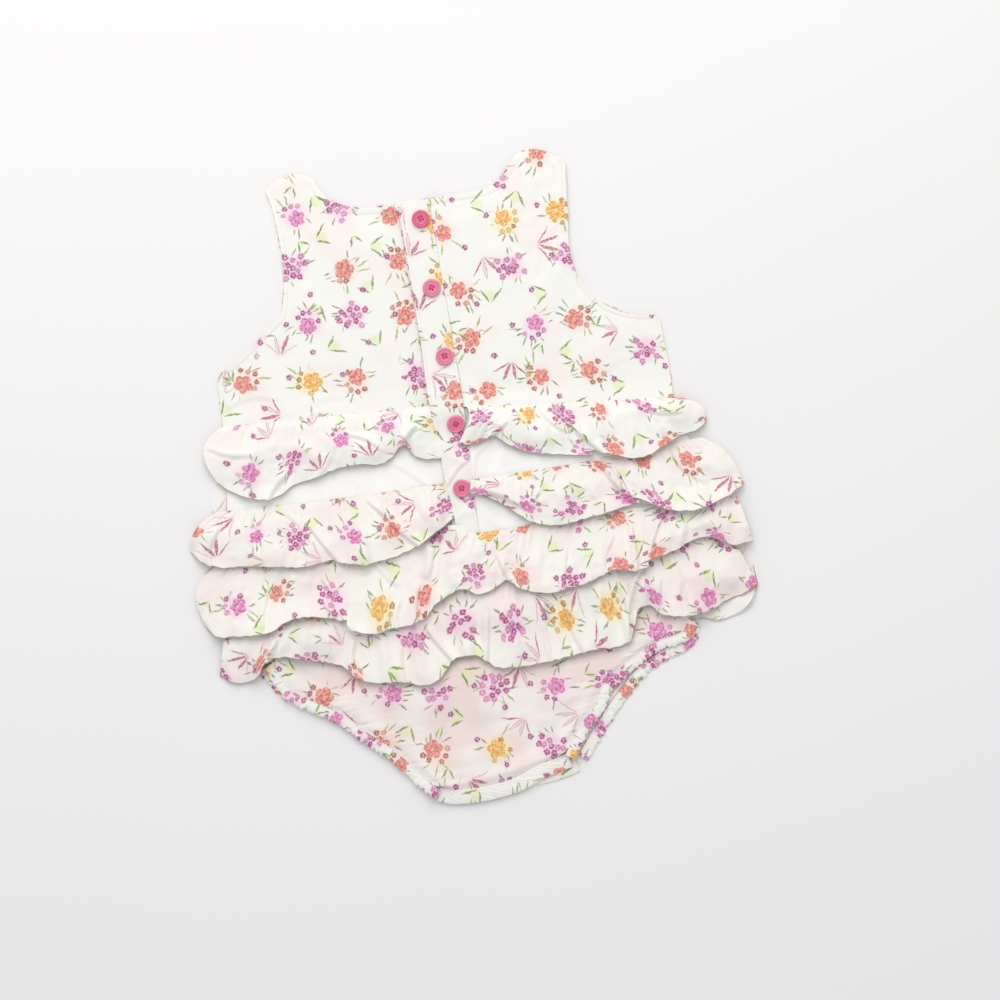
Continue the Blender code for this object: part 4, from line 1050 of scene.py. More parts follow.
def cloth_grid(name, points, cut, materials):
    """The same for a grid of points, with its right side up."""
    rows, columns = points.shape[:2]
    number = np.arange(rows * columns).reshape(rows, columns)
    faces = np.stack([number[:-1, :-1], number[:-1, 1:], number[1:, 1:], number[1:, :-1]], axis=2)
    down = np.mean(points[1:, :-1] - points[:-1, :-1], axis=(0, 1))
    along = np.mean(points[:-1, 1:] - points[:-1, :-1], axis=(0, 1))
    if along[0] * down[1] - along[1] * down[0] < 0:
        faces = faces[..., ::-1]
    return cloth_mesh(name, points.reshape(-1, 3), faces.reshape(-1, 4), cut.reshape(-1, 2), materials)


def across(sections, columns, rows_between):
    """The flat grid of a panel from its sections, with rows between each two of them."""
    table = through([row[:4] for row in sections], rows_between)
    crown = through([row[4:] or (0,) for row in sections], rows_between)
    s = np.linspace(0.0, 1.0, columns)[None, :]
    x = table[:, [0]] * (1 - s) + table[:, [2]] * s
    y = table[:, [1]] * (1 - s) + table[:, [3]] * s + 4 * crown * s * (1 - s)
    return np.stack([x, y], axis=2)


def own_place(name, flat):
    """Where a piece was cut from the printed cloth, so that no two pieces show the same flowers."""
    draw = np.random.default_rng(seed_of(name))
    turn = draw.uniform(-0.12, 0.12)
    x, y = flat[..., 0] + draw.uniform(0, 900), flat[..., 1] + draw.uniform(0, 900)
    cosine, sine = math.cos(turn), math.sin(turn)
    return np.stack([x * cosine - y * sine, x * sine + y * cosine], axis=-1)


def lay(pile, flat, own):
    """The flat grid laid on the pile, own mm higher than it must lie, but never through it."""
    rest = pile.rest(flat[..., 0], flat[..., 1])
    z = rest + np.maximum(GAP + WALL / 2 + own, LEAST_ROOM - WALL / 2)
    points = np.dstack([flat, z])
    pile.lay(points + np.array([0.0, 0.0, WALL / 2]))
    return points


def joined(points, edge, rim, reach):
    """A grid whose "left" or "right" column or "bottom" row is lowered or raised to what it is sewn
    to: the heights of the rim points near it. The change fades over the reach, in mm."""
    turned = {
        "left": points, "right": points[:, ::-1], "bottom": points[::-1].transpose(1, 0, 2),
    }[edge]
    ends = turned[:, 0]
    off = np.linalg.norm(ends[:, None, :2] - rim[None, :, :2], axis=2)
    nearest = off.argmin(axis=1)
    near = 1 - step(off.min(axis=1), 1.0, 4.0)
    change = (rim[nearest, 2] - ends[:, 2]) * near
    away = np.linalg.norm(turned[..., :2] - ends[:, None, :2], axis=2)
    turned[..., 2] += change[:, None] * (1 - step(away, 0.0, reach))
    return points


def turned_edge(x, y, line, width):
    """The height of a turned edge: its own thickness, and a dent where it is stitched down."""
    thicker, dent, dent_half = 0.22, 0.25, 0.9
    off = np.abs(off_line(x, y, line)[0])
    turned = thicker * step(-off, -width - 1.0, -width + 0.4)
    return turned - dent * np.exp(-(((off - width) / dent_half) ** 2))


def on_cloth(points, line, lift):
    """A flat line laid on the upper side of a sheet."""
    sheet = points.reshape(-1, 3)
    heights = []
    for x, y in line[:, :2]:
        off = (sheet[:, 0] - x) ** 2 + (sheet[:, 1] - y) ** 2
        near = np.argpartition(off, 4)[:4]
        weight = 1 / (off[near] + 0.01)  # never divides by 0
        heights.append((sheet[near, 2] * weight).sum() / weight.sum())
    return np.column_stack([line[:, :2], np.array(heights) + CLOTH / 2 + lift])


def running(line):
    """The line and the way that running stitches lie on it: along it."""
    return line, np.gradient(line, axis=0)


def whipped(points, row, before):
    """An edge of a grid and the way that overlock stitches lie on it: inwards over the edge."""
    edge, inner = points[row], points[before]
    inward = inner - edge
    inward /= np.linalg.norm(inward, axis=1)[:, None]
    return edge + 0.2 * OVERLOCK * inward + np.array([0.0, 0.0, ON_TOP]), inward


class Romper:
    """The pieces in the order that they lie on each other, with the pile that they lie on."""

    def __init__(self):
        self.pile = Pile()
        wrong_side = poplin("poplin_printed_wrong_side", PRINTED_SHADES, wrong_side=True)
        self.printed = (poplin("poplin_printed", PRINTED_SHADES), wrong_side)
        # Tiers and seat: the same poplin, tinted as painted glow of the print below, and on the seat also
        # painted shade.
        self.tiers = (poplin("poplin_printed_tiers_painted_glow", TIER_SHADES_PAINTED_GLOW, crinkle=0.95), wrong_side)
        self.seat = (poplin("poplin_printed_seat_painted_glow_and_shade", SEAT_SHADES_PAINTED_GLOW_AND_SHADE, crinkle=0.7), wrong_side)
        self.plain = (poplin("poplin_white", PLAIN_SHADES, printed=False),)
        self.white_thread = sewing_thread("thread_white", "#F1EEE8")
        # The hem thread's grey is partly its own colour and partly painted shade of the line along each
        # hem.
        self.hem_thread_painted_shade = sewing_thread("thread_grey_green_painted_shade", "#A6A195")
        self.pink_thread = sewing_thread("thread_pink", "#DB6189")
        self.sewing = stitch_tree()

    def piece(self, node, points, cut, cloth, held, rests_on, flat, stitches=()):
        """A sheet of cloth in place of its node, which is hidden, with its flat cut in mm as its UV map.
        """
        sheet = cloth_grid(node + "_cloth", points, cut, cloth)
        self.declare(sheet, node)

    def declare(self, sheet, node):
        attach(sheet, "root")
        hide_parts(node)

    def topstitches(self, node, lines, spacing=TOPSTITCH):
        """Rows of white topstitching on a piece."""
        rows = [running(line) for line in lines]
        return sewn(
            self.sewing, node + "_topstitch", rows, spacing, TOPSTITCH_SHARE * spacing, TOPSTITCH_THREAD,
            self.white_thread,
        )

    def overlock(self, node, lines):
        """Overlocked edges: close stitches that wrap the raw edge of the cloth."""
        # The grey of their thread is partly painted shade along the hem.
        return sewn(
            self.sewing, node + "_overlock", lines, OVERLOCK, OVERLOCK_LENGTH, OVERLOCK_THREAD,
            self.hem_thread_painted_shade, OVERLOCK_CORD,
        )

    def front_panel(self):
        """The front, flat on the ground, in one piece from the shoulders to the crotch."""
        inset = CASING_WIDTH + GAP
        outline = np.vstack([
            through(FRONT_LEFT_SIDE, 8)[:-1],
            through(FRONT_LEFT_ARMHOLE, 8),
            through(FRONT_NECK, 8),
            through(FRONT_RIGHT_ARMHOLE, 8),
            through(FRONT_RIGHT_SIDE, 8),
            sideways(through(FRONT_LEG_RIGHT, 8), -inset),
            sideways(through(FRONT_CROTCH, 8), CROTCH_BAND_WIDTH + GAP)[::-1],
            sideways(through(FRONT_LEG_LEFT, 8), inset)[::-1],
        ])
        edge_step, grid_step, clear = 2.5, 3.0, 1.6
        closed = np.vstack([outline, outline[:1]])
        outline = evenly(closed, int(length_of(closed) / edge_step))[:-1]
        closed = np.vstack([outline, outline[:1]])
        grid = np.meshgrid(np.arange(-170, 180, grid_step), np.arange(-200, 206, grid_step))
        x, y = (axis.ravel() for axis in grid)
        within = np.zeros(x.shape, bool)
        for (x0, y0), (x1, y1) in zip(closed[:-1], closed[1:]):
            if y0 != y1:
                within ^= ((y0 > y) != (y1 > y)) & (x < (x1 - x0) * (y - y0) / (y1 - y0) + x0)
        inner = np.stack([x[within], y[within]], axis=1)
        inner = inner[np.abs(off_line(inner[:, 0], inner[:, 1], closed)[0]) > clear]
        flat = [Vector(point) for point in np.vstack([outline, inner]).tolist()]
        edges = [(k, (k + 1) % len(outline)) for k in range(len(outline))]
        flat, _, faces = delaunay_2d_cdt(flat, edges, [], 1, 1e-5)[:3]
        flat = np.array([tuple(point) for point in flat])
        faces = np.array([list(face) for face in faces if len(face) == 3])
        a, b, c = (flat[faces[:, k]] for k in range(3))
        ab, ac = b - a, c - a
        under = ab[:, 0] * ac[:, 1] - ab[:, 1] * ac[:, 0] < 0
        faces[under] = faces[under][:, ::-1]
        # The side below the tiers stands in a low wave where nothing holds it down.
        free = step(flat[:, 0], 132.0, 160.0) * step(-flat[:, 1], 92.0, 112.0)
        wave = 1.3 + 1.2 * np.sin(flat[:, 0] / 6.5 + flat[:, 1] / 9.0)
        points = np.column_stack([flat, CLOTH / 2 + free * wave])
        cut = own_place("front_panel", flat)
        sheet = cloth_mesh("front_panel_cloth", points, faces, cut, self.printed[::-1])
        for part in (inner, outline):
            self.pile.raise_to(np.column_stack([part, np.full(len(part), WALL)]))
        # Its hem is overlocked there.
        lobe = outline[(outline[:, 0] > 134.0) & (outline[:, 1] < -84.0) & (outline[:, 1] > -119.5)]
        nearest = [int(np.argmin(((flat - point) ** 2).sum(axis=1))) for point in lobe]
        edge = points[nearest]
        inward = np.column_stack([sideways(edge[:, :2], 1.0) - edge[:, :2], np.zeros(len(edge))])
        within_panel = np.array([100.0, -80.0])
        if (within_panel - edge[0, :2]) @ inward[0, :2] < 0:
            inward = -inward
        edge = edge + 0.6 * inward + np.array([0.0, 0.0, 0.1])
        hem = self.overlock("front_panel", [(edge, inward)])
        self.declare(sheet, "front_panel")

    def casing(self, node, edge, height, inward, on_ground=False):
        """A gathered elastic casing: a strip of cloth folded round its elastic, with its frills.

        Its upper side starts where it is sewn to the panel. The upper side's inner edge is given back."""
        line = sideways(through(edge, 12), inward * CASING_WIDTH / 2)
        count = int(length_of(line) / SEWN_STEP)
        middle = evenly(line, count)
        outwards = (sideways(middle, 1.0) - middle) * -inward
        along = np.linspace(0.0, length_of(middle), count)
        z = np.zeros(count) if on_ground else self.pile.rest(middle[:, 0], middle[:, 1]) + GAP
        seed = seed_of(node)
        small, large = gathers(along, 3.7, seed), gathers(along, 9.1, seed + 1)
        ends = np.clip(np.minimum(along, along[-1] - along) / 4.0, 0.0, 1.0)
        half = CASING_WIDTH / 2
        # From the seam, over the elastic, round the frilled fold, and back below it: the place across
        # the casing, and the share of its height.
        section = through((
            (-half, 0.78), (-0.75 * half, 0.74), (-0.45 * half, 0.86), (0.0, 0.94), (0.4 * half, 0.9),
            (0.78 * half, 0.72), (half - 0.3, 0.4), (0.75 * half, 0.14), (0.2 * half, 0.1),
            (-0.6 * half, 0.1),
        ), 4)
        rings = []
        for place, share in section:
            frill = step(place, -0.3 * half, half)
            upper = step(share, 0.2, 0.6)
            out = place + ends * frill * (0.75 * small + 0.6 * large)
            valley = math.exp(-(((place + 0.72 * half) / 1.1) ** 2))
            pleat = 0.2 + 0.14 * frill - 0.1 * valley
            up = share * (height - CLOTH) + 0.5 * CLOTH * (1 - share)
            up = up + ends * upper * pleat * gathers(along + 0.3 * place, 3.7, seed + 2)
            up = up + ends * upper * 0.14 * gathers(along + 2.5 * place, 2.3, seed + 3)
            rings.append(np.column_stack([middle + outwards * np.reshape(out, (-1, 1)), z + up]))
        points = np.stack(rings, axis=1)
        self.pile.lay(points[:, ::4])
        cut = np.stack(np.meshgrid(along * CASING_FULLNESS, distances(section), indexing="ij"), axis=2)
        stitches = [on_cloth(points[2:-2, :25], sideways(middle[3:-3], inward * 2.5), 0.05)]
        thread = self.topstitches(node, stitches, 2.0)
        strip = (along[-1] * CASING_FULLNESS, CASING_CUT, None)
        rests_on = [] if on_ground else ["front_panel_cloth"]
        # Each strip is cut along a row of posies.
        cut = cut + np.array([seed % 7 * POSY_PITCH + seed % 31, 0.15 * POSY_PITCH - 3.8])
        self.piece(node, points, cut, self.printed, "gathered", rests_on, strip, [thread])
        return points[:, 0]

    def crotch_band(self, node, edge, rests_on, on_ground=False):
        """A hem band above its lower edge line, a little puckered by its stitching."""
        line = through(edge, 12)
        low = evenly(line, int(length_of(line) / SEWN_STEP))
        # From the turned-in edge below, round the fold, to the seam above: how far inside the lower
        # edge, and how high.
        turn = np.linspace(0.0, 1.0, 9)[:, None] * math.pi
        middle = -BAND_FOLD / 2
        section = np.vstack([
            [(2.6, -BAND_FOLD), (1.5, -BAND_FOLD)],
            np.hstack([0.38 - 0.38 * np.sin(turn), middle + middle * np.cos(turn)]),
            [(inset, 0.0) for inset in np.linspace(1.0, CROTCH_BAND_WIDTH, 15)],
        ])
        t = (section[:, 0] / CROTCH_BAND_WIDTH)[None, :]
        flat = np.stack([sideways(low, inset) for inset in section[:, 0]], axis=1)
        along = np.linspace(0.0, length_of(low), len(low))[:, None] + 0 * t
        puff = np.sin(math.pi * t) * (section[:, 1] > -0.1)[None, :]
        own = 0.35 * puff**0.6 + 0.28 * gathers(along + 22 * t, 5.2, seed_of(node)) * puff
        rest = 0.0 if on_ground else self.pile.rest(flat[..., 0], flat[..., 1]) + GAP
        points = np.dstack([flat, rest + CLOTH / 2 + BAND_FOLD + section[:, 1] + np.maximum(own, -0.1)])
        self.pile.lay(points + np.array([0.0, 0.0, WALL / 2]))
        cut = own_place(node, np.stack([along, distances(section)[None, :] + 0 * along], axis=2))
        thread = self.topstitches(node, [
            on_cloth(points, sideways(low[2:-2], inset), ON_TOP)
            for inset in (1.4, CROTCH_BAND_WIDTH - 1.2)
        ])
        self.piece(node, points, cut, self.printed, "laid", rests_on, CUTS[node], [thread])
        return points[:, -1]

    def panel(
        self, node, flat, rests_on, cloth, own=0.0, hems=(), stitches=(), sewn_down=(), beside=None,
    ):
        """A flat panel laid on the pile, with its folds and its turned and stitched edges."""
        outside, inside = 0.3, -0.25
        if beside is not None:
            # Two columns of the grid run close beside the edge that is sewn on top.
            off = off_line(flat[..., 0], flat[..., 1], beside)[0]
            nearest = np.abs(off - outside).argmin(axis=1)
            rows = np.nonzero(np.abs(off - outside).min(axis=1) < 1.2)[0]
            for column, place in ((nearest[rows], outside), (nearest[rows] - 1, inside)):
                flat[rows, column, 0] += place - off[rows, column]
        x, y = flat[..., 0], flat[..., 1]
        seed = seed_of(node)
        own = own + fold_height(node, x, y)
        own = own + crumple(x, y, 42.0, 0.16, seed) + crumple(x, y, 15.0, 0.07, seed + 1)
        for line, width in hems:
            own = own + turned_edge(x, y, line, width)
        for line, reach, drop in sewn_down:
            # An edge that is sewn to what lies below bends down to it.
            off = np.abs(off_line(x, y, line)[0])
            own = own - drop * (1 - step(off, 0.0, reach))
        points = lay(self.pile, flat, own)
        if beside is not None:
            # Just beside that edge, the cloth stands up to it.
            off = off_line(x, y, beside)[0]
            rise = 0.52 * np.exp(-np.maximum(off - outside, 0.0) / 9.0)
            points[..., 2] += np.where(off > 0.1, rise, 0.0)
        threads = []
        if stitches:
            threads = [self.topstitches(node, [on_cloth(points, line, ON_TOP) for line in stitches])]
        self.piece(node, points, own_place(node, flat), cloth, "laid", rests_on, CUTS[node], threads)
        return points

    def back(self, band_edge):
        """The two halves of the back bodice, each over its half of the seat base.

        The armholes start at the fourth section of a half, and the neck at its twelfth or fourteenth."""
        self.panel(
            "seat_base_left", across(SEAT_LEFT_SECTIONS, 110, 18), ["front_panel_cloth"], self.plain
        )
        between = 9
        flat = across(BACK_LEFT_SECTIONS, 125, between)
        neck = np.vstack([[(6.0, 177.4)], flat[11 * between:, -1]])
        neck = evenly(np.vstack([neck[0], (-8.0, 177.6), neck[1:]]), 90)
        armhole, side, shoulder = flat[3 * between:, 0], flat[:3 * between + 1, 0], flat[-1]
        lower_left = self.panel(
            "back_bodice_left", flat, ["front_panel_cloth", "seat_base_left_cloth"], self.printed,
            hems=((neck, NECK_HEM), (armhole, 3.0)),
            stitches=(sideways(neck, NECK_HEM)[3:-8], sideways(armhole, -2.6)[4:-6]),
            sewn_down=((side, 4.0, 0.55), (shoulder, 4.0, 0.55)),
        )
        self.panel(
            "seat_base_right", across(SEAT_RIGHT_SECTIONS, 110, 18),
            ["front_panel_cloth", "seat_base_left_cloth"], self.plain, LAP_LIFT, beside=band_edge,
        )
        between = 8
        flat = across(BACK_RIGHT_SECTIONS, 135, between)
        neck = np.vstack([[(-14.0, 177.8)], flat[13 * between:, 0]])
        armhole, side, shoulder = flat[3 * between:, -1], flat[:3 * between + 1, -1], flat[-1]
        upper = armhole[armhole[:, 1] > 118.0]
        lower_right = self.panel(
            "back_bodice_right", flat,
            ["front_panel_cloth", "back_bodice_left_cloth", "seat_base_right_cloth"],
            self.printed, LAP_LIFT, beside=band_edge,
            hems=((neck, NECK_HEM), (upper, ARMHOLE_FACING), (armhole, 2.6)),
            stitches=(
                sideways(evenly(neck, 90), -NECK_HEM)[3:-8], sideways(armhole, 2.4)[4:-6],
                sideways(upper, ARMHOLE_FACING)[4:-10],
            ),
            sewn_down=((side, 4.0, 0.55), (shoulder, 4.0, 0.55)),
        )
        return lower_left[0], lower_right[0]

    def lower_seat(self, rim):
        """The printed seat between the tiers and the crotch, gathered into the leg casings."""
        inset = CASING_WIDTH + SEAM_GAP
        rows, columns = 112, 175
        left, right, crotch = (
            sideways(evenly(through(edge, 12), 200), way) for edge, way in (
                (BACK_LEG_LEFT, inset), (BACK_LEG_RIGHT, -inset),
                (BACK_CROTCH, CROTCH_BAND_WIDTH + SEAM_GAP),
            )
        )
        # Its lower corners are where the casings meet the band, and its upper ones lie under the tiers.
        left = evenly(np.vstack([[-146.0, -86.0], left[:-8], crotch[14]]), rows)
        right = evenly(np.vstack([[158.0, -86.0], right[:-8], crotch[-14]]), rows)
        s = np.linspace(0.0, 1.0, columns)[None, :, None]
        flat = left[:, None, :] * (1 - s) + right[:, None, :] * s
        seam = crotch[14:-13]
        bow = np.interp(flat[-1, :, 0], seam[:, 0], seam[:, 1]) - flat[-1, :, 1]
        flat[..., 1] += bow * np.linspace(0.0, 1.0, rows)[:, None] ** 6
        x, y = flat[..., 0], flat[..., 1]
        own = fold_height("seat_lower", x, y)
        for _ in range(14):
            # The folds are evened out, because nothing presses them in.
            own = np.mean([own] + [np.roll(own, way, axis) for way in (-1, 1) for axis in (0, 1)], axis=0)
        edge = np.minimum(np.abs(off_line(x, y, left)[0]), np.abs(off_line(x, y, right)[0]))
        own = np.clip(own, -0.6, None) * step(edge, 0.0, 16.0)
        along = np.linspace(0.0, length_of(left), rows)[:, None] + 0 * x
        short = gathers(along + 0.06 * x, 3.9, 11) * np.exp(-((edge / 7.0) ** 2)) * step(edge, 0.0, 2.0)
        long = gathers(along - 0.08 * x, 8.7, 13) * np.exp(-((edge / 16.0) ** 2)) * step(edge, 0.0, 4.0)
        own = own + 0.5 * (short + 0.6 * long) + crumple(x, y, 34.0, 0.3, 12) * step(edge, 0.0, 10.0)
        points = lay(self.pile, flat, own)
        for side in ("left", "right", "bottom"):
            points = joined(points, side, rim, 7.0)
        # The seat's poplin carries painted glow of the print below and painted shade under the tiers.
        self.piece(
            "seat_lower", points, own_place("seat_lower", flat), self.seat, "laid",
            ["front_panel_cloth", "leg_casing_front_left_cloth", "leg_casing_front_right_cloth"],
            CUTS["seat_lower"],
        )

    def placket(self, flat):
        """The over-band and its buttons."""
        left, right = flat[:, 0], flat[:, -1]
        off = np.abs(flat[..., 0] - right[:, [0]])
        # Its right edge is stitched down to the seat, and lies lower still once it is pressed.
        own = -0.55 * (1 - step(off, 0.0, 3.0))
        hem = 1.8
        points = self.panel(
            "button_band", flat, ["back_bodice_right_cloth", "seat_base_right_cloth"], self.printed, own,
            hems=((left, hem), (right, hem)),
            stitches=(left + np.array([hem, 0.0]), right - np.array([hem, 0.0])),
        )
        points[..., 2] -= 0.15 * (1 - step(off, 0.5, 4.0))
        pale, deep = polyester_button("polyester_pink", 0.0), polyester_button("polyester_deep_pink", 0.5)
        touching = 5.0
        turns = np.arange(12) * math.pi / 6
        rim = touching * np.stack([np.cos(turns), np.sin(turns)], axis=1)
        for number, ((x, y), turn) in enumerate(zip(BUTTON_PLACES, BUTTON_TURNS), 1):
            # A button leans as the cloth below it does, and lies on the highest places there.
            below = on_cloth(points, np.vstack([[[x, y]], rim + (x, y)]), 0.1)[:, 2]
            slope = 2 * (below[1:, None] * rim).mean(axis=0) / touching**2
            z = float((below - np.concatenate([[0.0], rim @ slope])).max())
            self.button(f"button_{number}", (x, y, z), slope, turn, deep if number == 1 else pale)
        # The lowest button lies under the corner of a tier, so its top joins the pile.
        top = z + BUTTON_HEIGHT
        last_button = np.array([[x + dx, y + dy, top] for dx in (-4, 0, 4) for dy in (-4, 0, 4)])
        return last_button, points[:, 0] - np.array([0.0, 0.0, CLOTH])

    def button(self, node, place, slope, turn, material):
        """A turned button with a rounded rim, a groove, a dished middle and four threaded holes."""
        profile = (
            (0.0, 0.0), (4.6, 0.0), (5.35, 0.35), (5.7, 0.95), (BUTTON_RADIUS, 1.35), (5.6, 1.85),
            (5.2, 2.2), (4.75, BUTTON_HEIGHT), (4.35, 2.32), (4.05, 2.05), (3.85, 1.9), (3.6, 1.98),
            (3.3, 2.0), (2.6, 1.9), (1.6, 1.78), (0.0, 1.74),
        )
        shape = bmesh.new()
        verts = [shape.verts.new((radius * MM, 0.0, height * MM)) for radius, height in profile]
        edges = [shape.edges.new(pair) for pair in zip(verts[:-1], verts[1:])]
        bmesh.ops.spin(
            shape, geom=verts + edges, cent=(0, 0, 0), axis=(0, 0, 1), angle=2 * math.pi,
            steps=BUTTON_SIDES, use_merge=True,
        )
        bmesh.ops.remove_doubles(shape, verts=shape.verts, dist=0.01 * MM)
        bmesh.ops.recalc_face_normals(shape, faces=shape.faces)
        disc = link(node + "_disc", bpy.data.meshes.new(node + "_disc"))
        shape.to_mesh(disc.data)
        shape.free()
        pins = bmesh.new()
        for angle in (math.pi / 4 + k * math.pi / 2 for k in range(4)):
            hole = Vector((HOLE_OFFSET * math.cos(angle), HOLE_OFFSET * math.sin(angle), 0.0)) * MM
            bmesh.ops.create_cone(
                pins, cap_ends=True, segments=16, radius1=HOLE_RADIUS * MM, radius2=HOLE_RADIUS * MM,
                depth=4 * BUTTON_HEIGHT * MM, matrix=Matrix.Translation(hole),
            )
        drill = link(node + "_drill", bpy.data.meshes.new(node + "_drill"))
        pins.to_mesh(drill.data)
        pins.free()
        holes = disc.modifiers.new("holes", "BOOLEAN")
        holes.object = drill
        mesh = in_order(plain_mesh(disc, drill))
        places = np.empty(len(mesh.vertices) * 3)
        mesh.vertices.foreach_get("co", places)
        lay_uv(mesh, places.reshape(-1, 3)[:, :2])
        mesh.shade_smooth()
        mesh.set_sharp_from_angle(angle=math.radians(38))
        mesh.materials.clear()
        mesh.materials.append(material)
        upright, leaning = Vector((0.0, 0.0, 1.0)), Vector((-slope[0], -slope[1], 1.0))
        lean = upright.rotation_difference(leaning).to_matrix()
        place_in_room = Matrix.Translation(Vector(place) * MM) @ lean.to_4x4()
        mesh.transform(place_in_room @ Matrix.Rotation(math.radians(turn), 4, "Z"))
        piece = link(node + "_polyester", mesh)
        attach(piece, "root")
        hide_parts(node)
        # Its thread crosses from hole to hole, in two strands each way, and dips into the holes.
        strands = []
        for k, crossing in enumerate((1.92, 2.17)):
            angle = math.radians(turn) + math.pi / 4 + k * math.pi / 2
            reach = HOLE_OFFSET * np.array([math.cos(angle), math.sin(angle)])
            for side in (-0.14, 0.14):
                beside = side * np.array([-math.sin(angle), math.cos(angle)])
                line = np.array([[*(beside - reach), 1.5], [*beside, crossing], [*(beside + reach), 1.5]])
                strands.append(running(through(line @ np.array(lean).T + place, 6)))
        sewn(self.sewing, node + "_thread", strands, 0.4, 0.8, 0.42, self.pink_thread)

    def tier(self, node, waves, seam, bows, size, rests_on, band_edge, rim):
        """A gathered tier: flat and full at its seam, in waves and folds at its overlocked hem."""
        hem = through(waves, STEPS_PER_WAVE)
        count = len(hem)
        top = evenly(through(seam, 8), count)
        if rim is not None:
            # The first tier runs on from the bodice.
            top[:, 1] = np.interp(top[:, 0], rim[:, 0], rim[:, 1]) - SEAM_GAP
        s = np.linspace(0.0, 1.0, count)[:, None]
        t = np.linspace(0.0, 1.0, TIER_ROWS + 1)[None, :]
        reach = t**0.85
        x = top[:, [0]] * (1 - reach) + hem[:, [0]] * reach
        y = top[:, [1]] * (1 - t) + hem[:, [1]] * t
        drop = np.hypot(hem[:, 0] - top[:, 0], hem[:, 1] - top[:, 1])
        slack = np.sqrt(np.clip(TIER_LENGTH**2 - drop**2, 0.0, None))
        puff = PUFF_KEPT * np.clip(PUFF_SHARE * slack, *PUFF_ROOM)[:, None]
        own = HEM_LIFT * hem[:, [2]] * np.sin(0.5 * math.pi * t) ** 1.2
        own = own + puff * np.sin(math.pi * t) ** 1.3
        at_left, at_right = (np.clip(1 - off / BOW_REACH, 0, 1) ** 2 for off in (s, 1 - s))
        x = x + (at_left * -bows[0] + at_right * bows[1]) * np.sin(math.pi * t**0.7)
        seed = seed_of(node)
        along = distances(hem[:, :2])[:, None]
        # The end at the placket lies flat, because it is caught under the band's stitching.
        from_placket = {"left": along[-1] - along, "right": along}.get(node.rsplit("_")[-1])
        if from_placket is not None:
            own = own * (0.15 + 0.85 * step(from_placket, 0.0, 10.0))
        fullness = np.exp(-((t / 0.3) ** 2)) * step(t, 0.0, 0.07)
        own = own + 0.75 * gathers(along + 2.0 * t, 6.3, seed) * fullness
        longer = gathers(along + 5.0 * t, 12.0, seed + 5)
        own = own + 0.7 * longer * step(t, 0.0, 0.3) * (0.5 + 0.5 * t)
        y = y + 0.3 * gathers(along, 8.3, seed + 7) * t**3
        if node.endswith("_left"):
            # That end comes close to the band.
            target = np.interp(-y[-1], -band_edge[:, 1], band_edge[:, 0]) - SEAM_GAP
            x = x + (target - x[-1]) * (1 - step(from_placket, 0.0, 14.0))
        own = own + fold_height(node, x, y) * step(t, 0.0, 0.25)
        creases = crumple(x, y, 22.0, 0.42, seed) + crumple(x, y, 10.0, 0.17, seed + 3)
        own = own + creases * step(t, 0.05, 0.4)
        # At its seam the tier is sewn down to what lies below.
        own = own - 0.6 * (1 - step(t, 0.0, 0.1))
        points = lay(self.pile, np.dstack([x, y]), own)
        if rim is not None:
            points = joined(points, "left", rim, 6.0)
        if node.endswith("_left"):
            points = joined(points, "bottom", band_edge, 12.0)
        cut = own_place(node, np.dstack([along + 0 * t, -TIER_LENGTH * t + 0 * along]))
        hem_stitches = self.overlock(node, [whipped(points.transpose(1, 0, 2), -1, TIER_ROWS - 3)])
        # Only the first tiers lie over plain cloth alone. The others take the shades with painted glow of
        # the print below.
        cloth = self.tiers if rim is None else self.printed
        self.piece(node, points, cut, cloth, "gathered", rests_on, (*size, None), [hem_stitches])

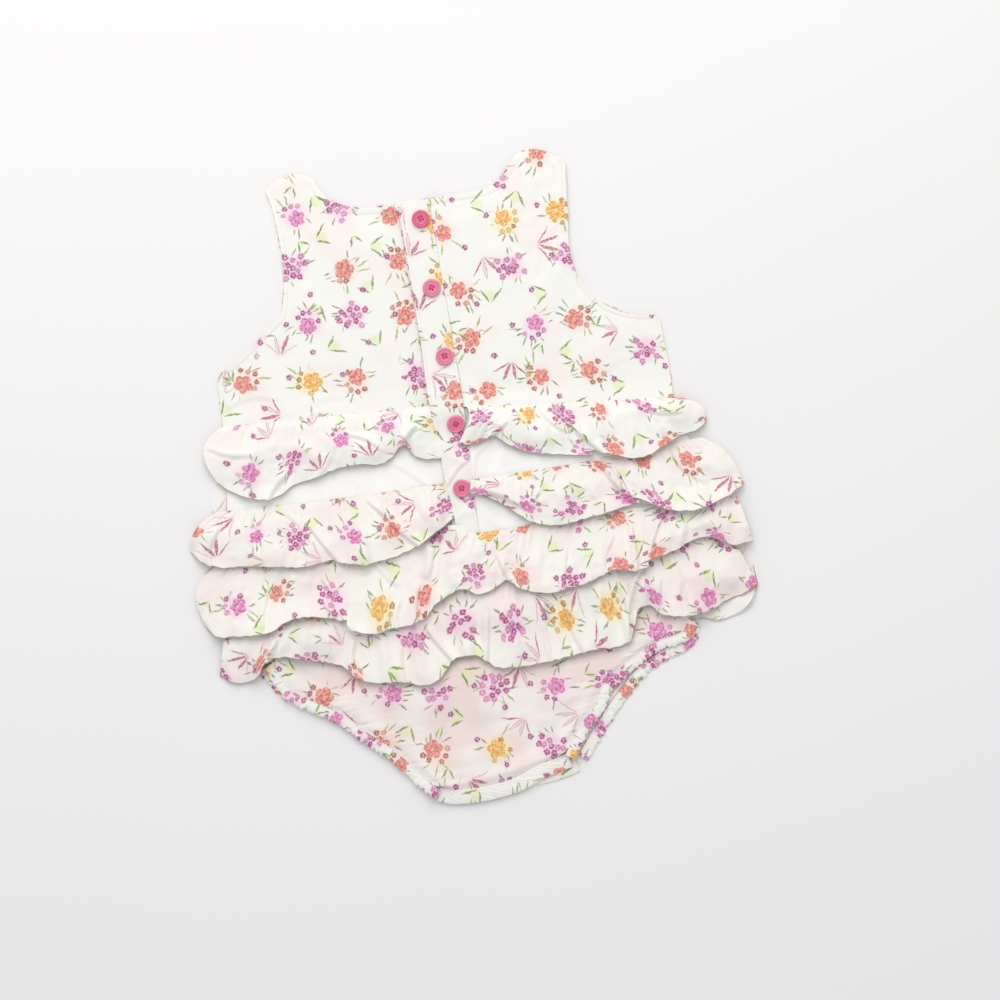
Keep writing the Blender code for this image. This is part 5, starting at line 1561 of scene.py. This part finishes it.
    def sew(self):
        band = across(BAND_SECTIONS, 26, 34)
        self.front_panel()
        self.casing("leg_casing_front_left", FRONT_LEG_LEFT, FRONT_CASING_HEIGHT, 1, True)
        self.casing("leg_casing_front_right", FRONT_LEG_RIGHT, FRONT_CASING_HEIGHT, -1, True)
        self.crotch_band("crotch_band_front", FRONT_CROTCH, [], True)
        lower_left, lower_right = self.back(band[:, -1])
        seat_rim = np.vstack([
            self.crotch_band("crotch_band_back", BACK_CROTCH, ["crotch_band_front_cloth"]),
            self.casing("leg_casing_back_left", BACK_LEG_LEFT, BACK_CASING_HEIGHT, 1),
            self.casing("leg_casing_back_right", BACK_LEG_RIGHT, BACK_CASING_HEIGHT, -1),
        ])
        self.lower_seat(seat_rim)
        last_button, band_edge = self.placket(band)
        rims = {"ruffle_1_left": lower_left, "ruffle_1_right": lower_right}
        for node, waves, seam, bows, size, below in TIERS:
            if node == "ruffle_2_right":
                self.pile.raise_to(last_button)
                self.pile.settle()
            rests_on = [piece + "_cloth" for piece in below]
            self.tier(node, waves, seam, bows, size, rests_on, band_edge, rims.get(node))


def photo_stand():
    """The board that the romper lies on, the room, the lamp and the camera."""
    scene = bpy.context.scene
    shape = bmesh.new()
    bmesh.ops.create_grid(shape, x_segments=1, y_segments=1, size=BOARD_HALF)
    mesh = bpy.data.meshes.new("board")
    shape.to_mesh(mesh)
    shape.free()
    mesh.transform(Matrix.Translation((0.0, 0.0, -BOARD_DROP)))
    mesh.materials.append(studio_board())
    link("board", mesh)

    world = bpy.data.worlds.new("white_room")
    world.use_nodes = True
    room = world.node_tree.nodes["Background"]
    room.inputs["Color"].default_value = ROOM_LIGHT
    room.inputs["Strength"].default_value = ROOM_STRENGTH
    scene.world = world

    light = bpy.data.lights.new("soft_box", "AREA")
    light.shape = "SQUARE"
    light.size = LAMP_SIZE
    light.energy = LAMP_POWER
    light.color = LAMP_LIGHT
    lamp = link("soft_box", light)
    lamp.location = LAMP_PLACE
    lamp.rotation_euler = (Vector(LAMP_AIM) - Vector(LAMP_PLACE)).to_track_quat("-Z", "Y").to_euler()

    camera = bpy.data.cameras.new("camera")
    camera.lens = CAMERA_LENS
    camera.sensor_width = 36.0
    stand = link("camera", camera)
    stand.location = CAMERA_PLACE
    stand.rotation_euler = (0.0, 0.0, CAMERA_TURN)
    scene.camera = stand
    scene.view_settings.view_transform = "Standard"


Romper().sew()
photo_stand()
